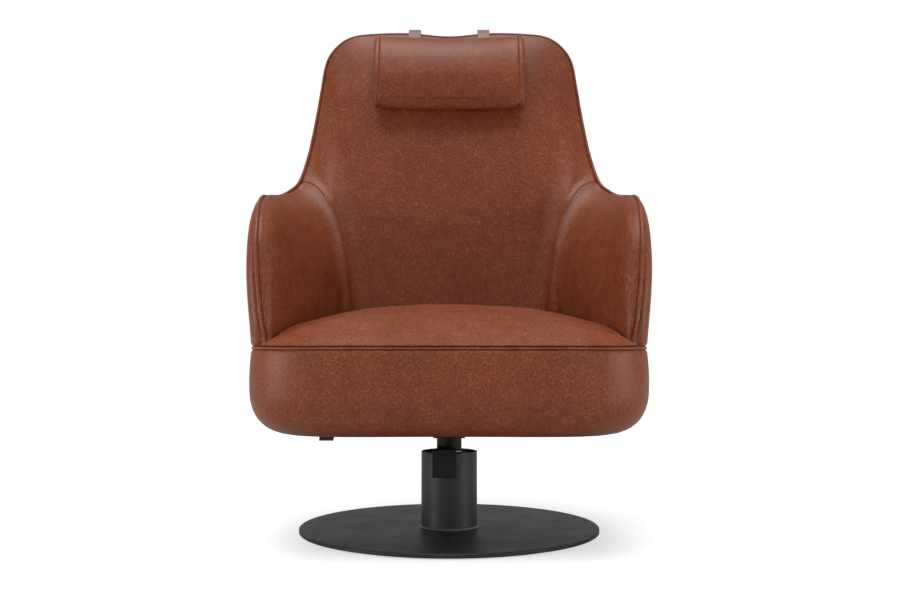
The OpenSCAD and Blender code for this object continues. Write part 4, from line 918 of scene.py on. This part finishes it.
def wood_group():
    """Timber: long grain with growth rings seen along the chair's width."""
    group, n, given = look_group(
        "planed_timber", Low=(0.3, 0.18, 0.08), High=(0.5, 0.34, 0.18))
    wave = n.add("ShaderNodeTexWave", {
        "Vector": n.stretched(given["Place"], (2.5, 40, 40)), "Scale": 1.2, "Distortion": 6.0, "Detail": 3.0},
        bands_direction="Z").outputs["Fac"]
    fibre = n.noise(n.stretched(given["Place"], (12, 400, 400)), 1.0, 3.0)
    colour = n.mix(n.math("MULTIPLY", wave, n.span(fibre, 0.2, 0.8, 0.5, 1.1)), given["Low"], given["High"])
    give_out(n, colour, n.span(fibre, 0.3, 0.7, 0.55, 0.7), fibre)
    return group


def cloth_group():
    """Plain weave: threads over and under each other."""
    group, n, given = look_group(
        "plain_weave", Low=(0.006, 0.006, 0.006), High=(0.03, 0.03, 0.03))
    threads = []
    for way in ("X", "Y"):
        thread = n.add("ShaderNodeTexWave", {"Vector": given["Place"], "Scale": 160.0, "Distortion": 0.6},
                       bands_direction=way)
        threads.append(thread.outputs["Fac"])
    weave = n.math("MULTIPLY", threads[0], threads[1])
    fuzz = n.noise(given["Place"], 60.0, 3.0)
    colour = n.mix(n.math("MULTIPLY", weave, n.span(fuzz, 0.3, 0.7, 0.6, 1.1)), given["Low"], given["High"])
    give_out(n, colour, n.span(weave, 0.0, 1.0, 0.95, 0.8), weave)
    return group


groups = {"leather": cracked_leather_group(), "powder": powder_group(), "metal": scratch_group(),
          "wood": wood_group(), "cloth": cloth_group()}


def material(name, group, colours, bump, bump_distance, **shader):
    """A material whose colour, roughness and bump come from a group; its other values stand on the shader."""
    made = bpy.data.materials.new(name)
    made.use_nodes = True
    tree = made.node_tree
    tree.nodes.clear()
    n = Nodes(tree)
    place = n.add("ShaderNodeTexCoord").outputs["Object"]
    look = n.add("ShaderNodeGroup", node_tree=groups[group])
    n.put(look.inputs["Place"], place)
    for key, value in colours.items():
        look.inputs[key].default_value = (*value, 1)
    bumps = n.add("ShaderNodeBump", {
        "Strength": bump, "Distance": bump_distance, "Height": look.outputs["Height"]})
    body = n.add("ShaderNodeBsdfPrincipled", {
        "Base Color": look.outputs["Colour"], "Roughness": look.outputs["Gloss"], "Normal": bumps.outputs[0]})
    for key, value in shader.items():
        body.inputs[key.replace("_", " ")].default_value = value
    result = n.add("ShaderNodeOutputMaterial")
    n.put(result.inputs["Surface"], body.outputs[0])
    return made


def greys(low, high):
    return {"Low": (low, low, low), "High": (high, high, high)}


leather_tones = {
    "Dark": (0.113, 0.021, 0.0048), "Light": (0.143, 0.0285, 0.0072), "Crack": (0.28, 0.094, 0.038)}
piping_tones = {"Dark": (0.115, 0.024, 0.007), "Light": (0.155, 0.036, 0.012), "Crack": (0.26, 0.08, 0.035)}
strap_tones = {"Dark": (0.145, 0.055, 0.033), "Light": (0.195, 0.083, 0.053), "Crack": (0.25, 0.12, 0.08)}
upholstery = material("upholstery_leather", "leather", leather_tones, 0.3, 0.0005, Specular_IOR_Level=0.24)
piping_leather = material("piping_leather", "leather", piping_tones, 0.25, 0.0004, Specular_IOR_Level=0.3)
strap_leather = material("strap_leather", "leather", strap_tones, 0.25, 0.0003, Specular_IOR_Level=0.3)
black_steel = material("black_powder_coat", "powder", {}, 0.12, 0.0002, Specular_IOR_Level=0.45)
# Darker copy of the black powder coat, for the steel parts under the seat: painted shade
shaded_steel = material(
    "shaded_steel", "powder", greys(0.0025, 0.0045), 0.2, 0.0002, Specular_IOR_Level=0.25)
weld_steel = material("weld_bead", "powder", greys(0.1, 0.2), 0.4, 0.0005, Metallic=0.6)
zinc_steel = material("zinc_steel", "metal", {}, 0.15, 0.0001, Metallic=1.0)
raw_steel = material(
    "raw_steel", "metal", {"Low": (0.15, 0.15, 0.16), "High": (0.3, 0.3, 0.31)}, 0.2, 0.0001, Metallic=1.0)
nylon = material("nylon", "powder", {"Low": (0.62, 0.58, 0.48), "High": (0.75, 0.72, 0.62)}, 0.05, 0.0001,
                 Subsurface_Weight=0.1)
black_plastic = material("black_plastic", "powder", greys(0.008, 0.015), 0.2, 0.0002)
friction_lining = material(
    "friction_lining", "powder", {"Low": (0.035, 0.03, 0.027), "High": (0.08, 0.07, 0.06)}, 0.5, 0.0004)
rubber = material("rubber", "powder", greys(0.008, 0.02), 0.3, 0.0003)
timber = material("timber", "wood", {}, 0.2, 0.0002)
plywood = material("plywood", "wood", {"Low": (0.36, 0.23, 0.11), "High": (0.58, 0.42, 0.24)}, 0.2, 0.0002)
dust_cloth = material("dust_cloth", "cloth", {}, 0.4, 0.0003)
webbing = material(
    "elastic_webbing", "cloth", {"Low": (0.015, 0.013, 0.011), "High": (0.06, 0.05, 0.045)}, 0.5, 0.0004)

SLOT_MATERIALS = {
    "floor_rubber": rubber, "black_steel": black_steel, "weld_steel": weld_steel, "zinc_steel": zinc_steel,
    "nylon": nylon, "black_plastic": black_plastic, "friction_lining": friction_lining, "timber": timber,
    "shell_ply": plywood, "webbing": webbing, "dust_cloth": dust_cloth, "upholstery": upholstery,
    "piping_leather": piping_leather, "strap_leather": strap_leather, "pouch_leather": upholstery,
    "weight_steel": raw_steel}
for row in frame["record"]["subparts"]:
    node = nodes[row["node"]]
    node.data.materials.clear()
    node.data.materials.append(SLOT_MATERIALS[row["material_slot"]])
# Steel parts under the seat get a darker copy of the black steel: painted shade, where the seat shades them
for name in ("brake_block", "brake_bracket", "swivel_post", "tilt_channel"):
    nodes[name].data.materials[0] = shaded_steel


def dress(piece, look, body, node):
    piece.data.materials.append(look)
    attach(piece, body)
    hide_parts(node)


for piece, node in (
        (seat_border, "seat_border"), (seat_cushion, "seat_cushion"), (back_pad, "back_pad"),
        (left_arm, "left_arm_pad"), (right_arm, "right_arm_pad"), (outer_cover, "outer_cover")):
    dress(piece, upholstery, "seat", node)
for piece, node in ((seat_piping, "seat_piping"), (rim_piping, "rim_piping")):
    dress(piece, piping_leather, "seat", node)
for piece in (left_strap, right_strap):
    dress(piece, strap_leather, "seat", "headrest_straps")
dress(headrest_pillow, upholstery, "headrest", "headrest_pillow")

# Floor, light and camera

bpy.ops.mesh.primitive_plane_add(size=14, location=(0, 1.0, 0))
floor = bpy.context.object
floor.name = "floor"
paint = bpy.data.materials.new("floor_paint")
paint.use_nodes = True
paint.node_tree.nodes.clear()
n = Nodes(paint.node_tree)
seen = n.add("ShaderNodeLightPath").outputs["Is Camera Ray"]
pale = n.add("ShaderNodeBsdfDiffuse", {"Color": (0.45, 0.45, 0.45, 1)})
lift = n.add("ShaderNodeEmission", {"Color": (1, 1, 1, 1), "Strength": 0.6})
shown = n.add("ShaderNodeAddShader", {0: pale.outputs[0], 1: lift.outputs[0]})
bounce = n.add("ShaderNodeBsdfDiffuse", {"Color": (0.5, 0.5, 0.5, 1)})
choice = n.add("ShaderNodeMixShader", {0: seen, 1: bounce.outputs[0], 2: shown.outputs[0]})
n.put(n.add("ShaderNodeOutputMaterial").inputs["Surface"], choice.outputs[0])
floor.data.materials.append(paint)

world = bpy.data.worlds.new("studio")
bpy.context.scene.world = world
world.use_nodes = True
n = Nodes(world.node_tree)
world.node_tree.nodes.clear()
path = n.add("ShaderNodeLightPath").outputs
plain = n.add("ShaderNodeBackground", {"Color": (1, 1, 1, 1), "Strength": 1.0})
gleam = n.add("ShaderNodeBackground", {"Color": (1, 1, 1, 1), "Strength": 0.42})
soft = n.add("ShaderNodeBackground", {"Color": (1, 1, 1, 1), "Strength": 0.18})
around = n.add("ShaderNodeMixShader", {0: path["Is Glossy Ray"], 1: soft.outputs[0], 2: gleam.outputs[0]})
choice = n.add("ShaderNodeMixShader", {0: path["Is Camera Ray"], 1: around.outputs[0], 2: plain.outputs[0]})
n.put(n.add("ShaderNodeOutputWorld").inputs["Surface"], choice.outputs[0])


def lamp(name, kind, place, aim, energy, **settings):
    light = bpy.data.lights.new(name, kind)
    light.energy = energy
    for key, value in settings.items():
        setattr(light, key, value)
    made = bpy.data.objects.new(name, light)
    bpy.context.scene.collection.objects.link(made)
    made.location = place
    made.rotation_euler = (Vector(aim) - Vector(place)).to_track_quat("-Z", "Y").to_euler()


lamp("overhead_light", "SUN", (-0.2, -0.45, 3.2), (0, 0, 0), 3.6, angle=math.radians(46))
lamp("front_softbox", "AREA", (-0.4, -3.8, 2.6), (0, 0, 0.6), 2, shape="RECTANGLE", size=2.4, size_y=1.6)
for way, name, energy in ((-1, "left", 1.0), (1, "right", 0.9)):
    lamp(name + "_softbox", "AREA", (2.5 * way, -1.15, 0.7), (0.3 * way, -0.2, 0.55), 33 * energy,
         shape="RECTANGLE", size=0.9, size_y=0.9)
    lamp(name + "_strip", "AREA", (1.4 * way, -3.0, 0.85), (0.25 * way, -0.2, 0.6), 4.5 * energy,
         shape="RECTANGLE", size=0.35, size_y=1.3)

# Camera of the photograph: lens and sensor in millimetres, its place in metres
LENS, SENSOR, SIDE_SHIFT, CAMERA_PLACE = 53.96, 36, 0.0009, (0, -2.71, 0.465)
camera_data = bpy.data.cameras.new("camera")
camera_data.lens = LENS
camera_data.sensor_width = SENSOR
camera_data.shift_x = SIDE_SHIFT
camera = bpy.data.objects.new("camera", camera_data)
camera.location = CAMERA_PLACE
camera.rotation_euler = (math.radians(90), 0, 0)
bpy.context.scene.collection.objects.link(camera)
bpy.context.scene.camera = camera
bpy.context.scene.view_settings.view_transform = "Standard"
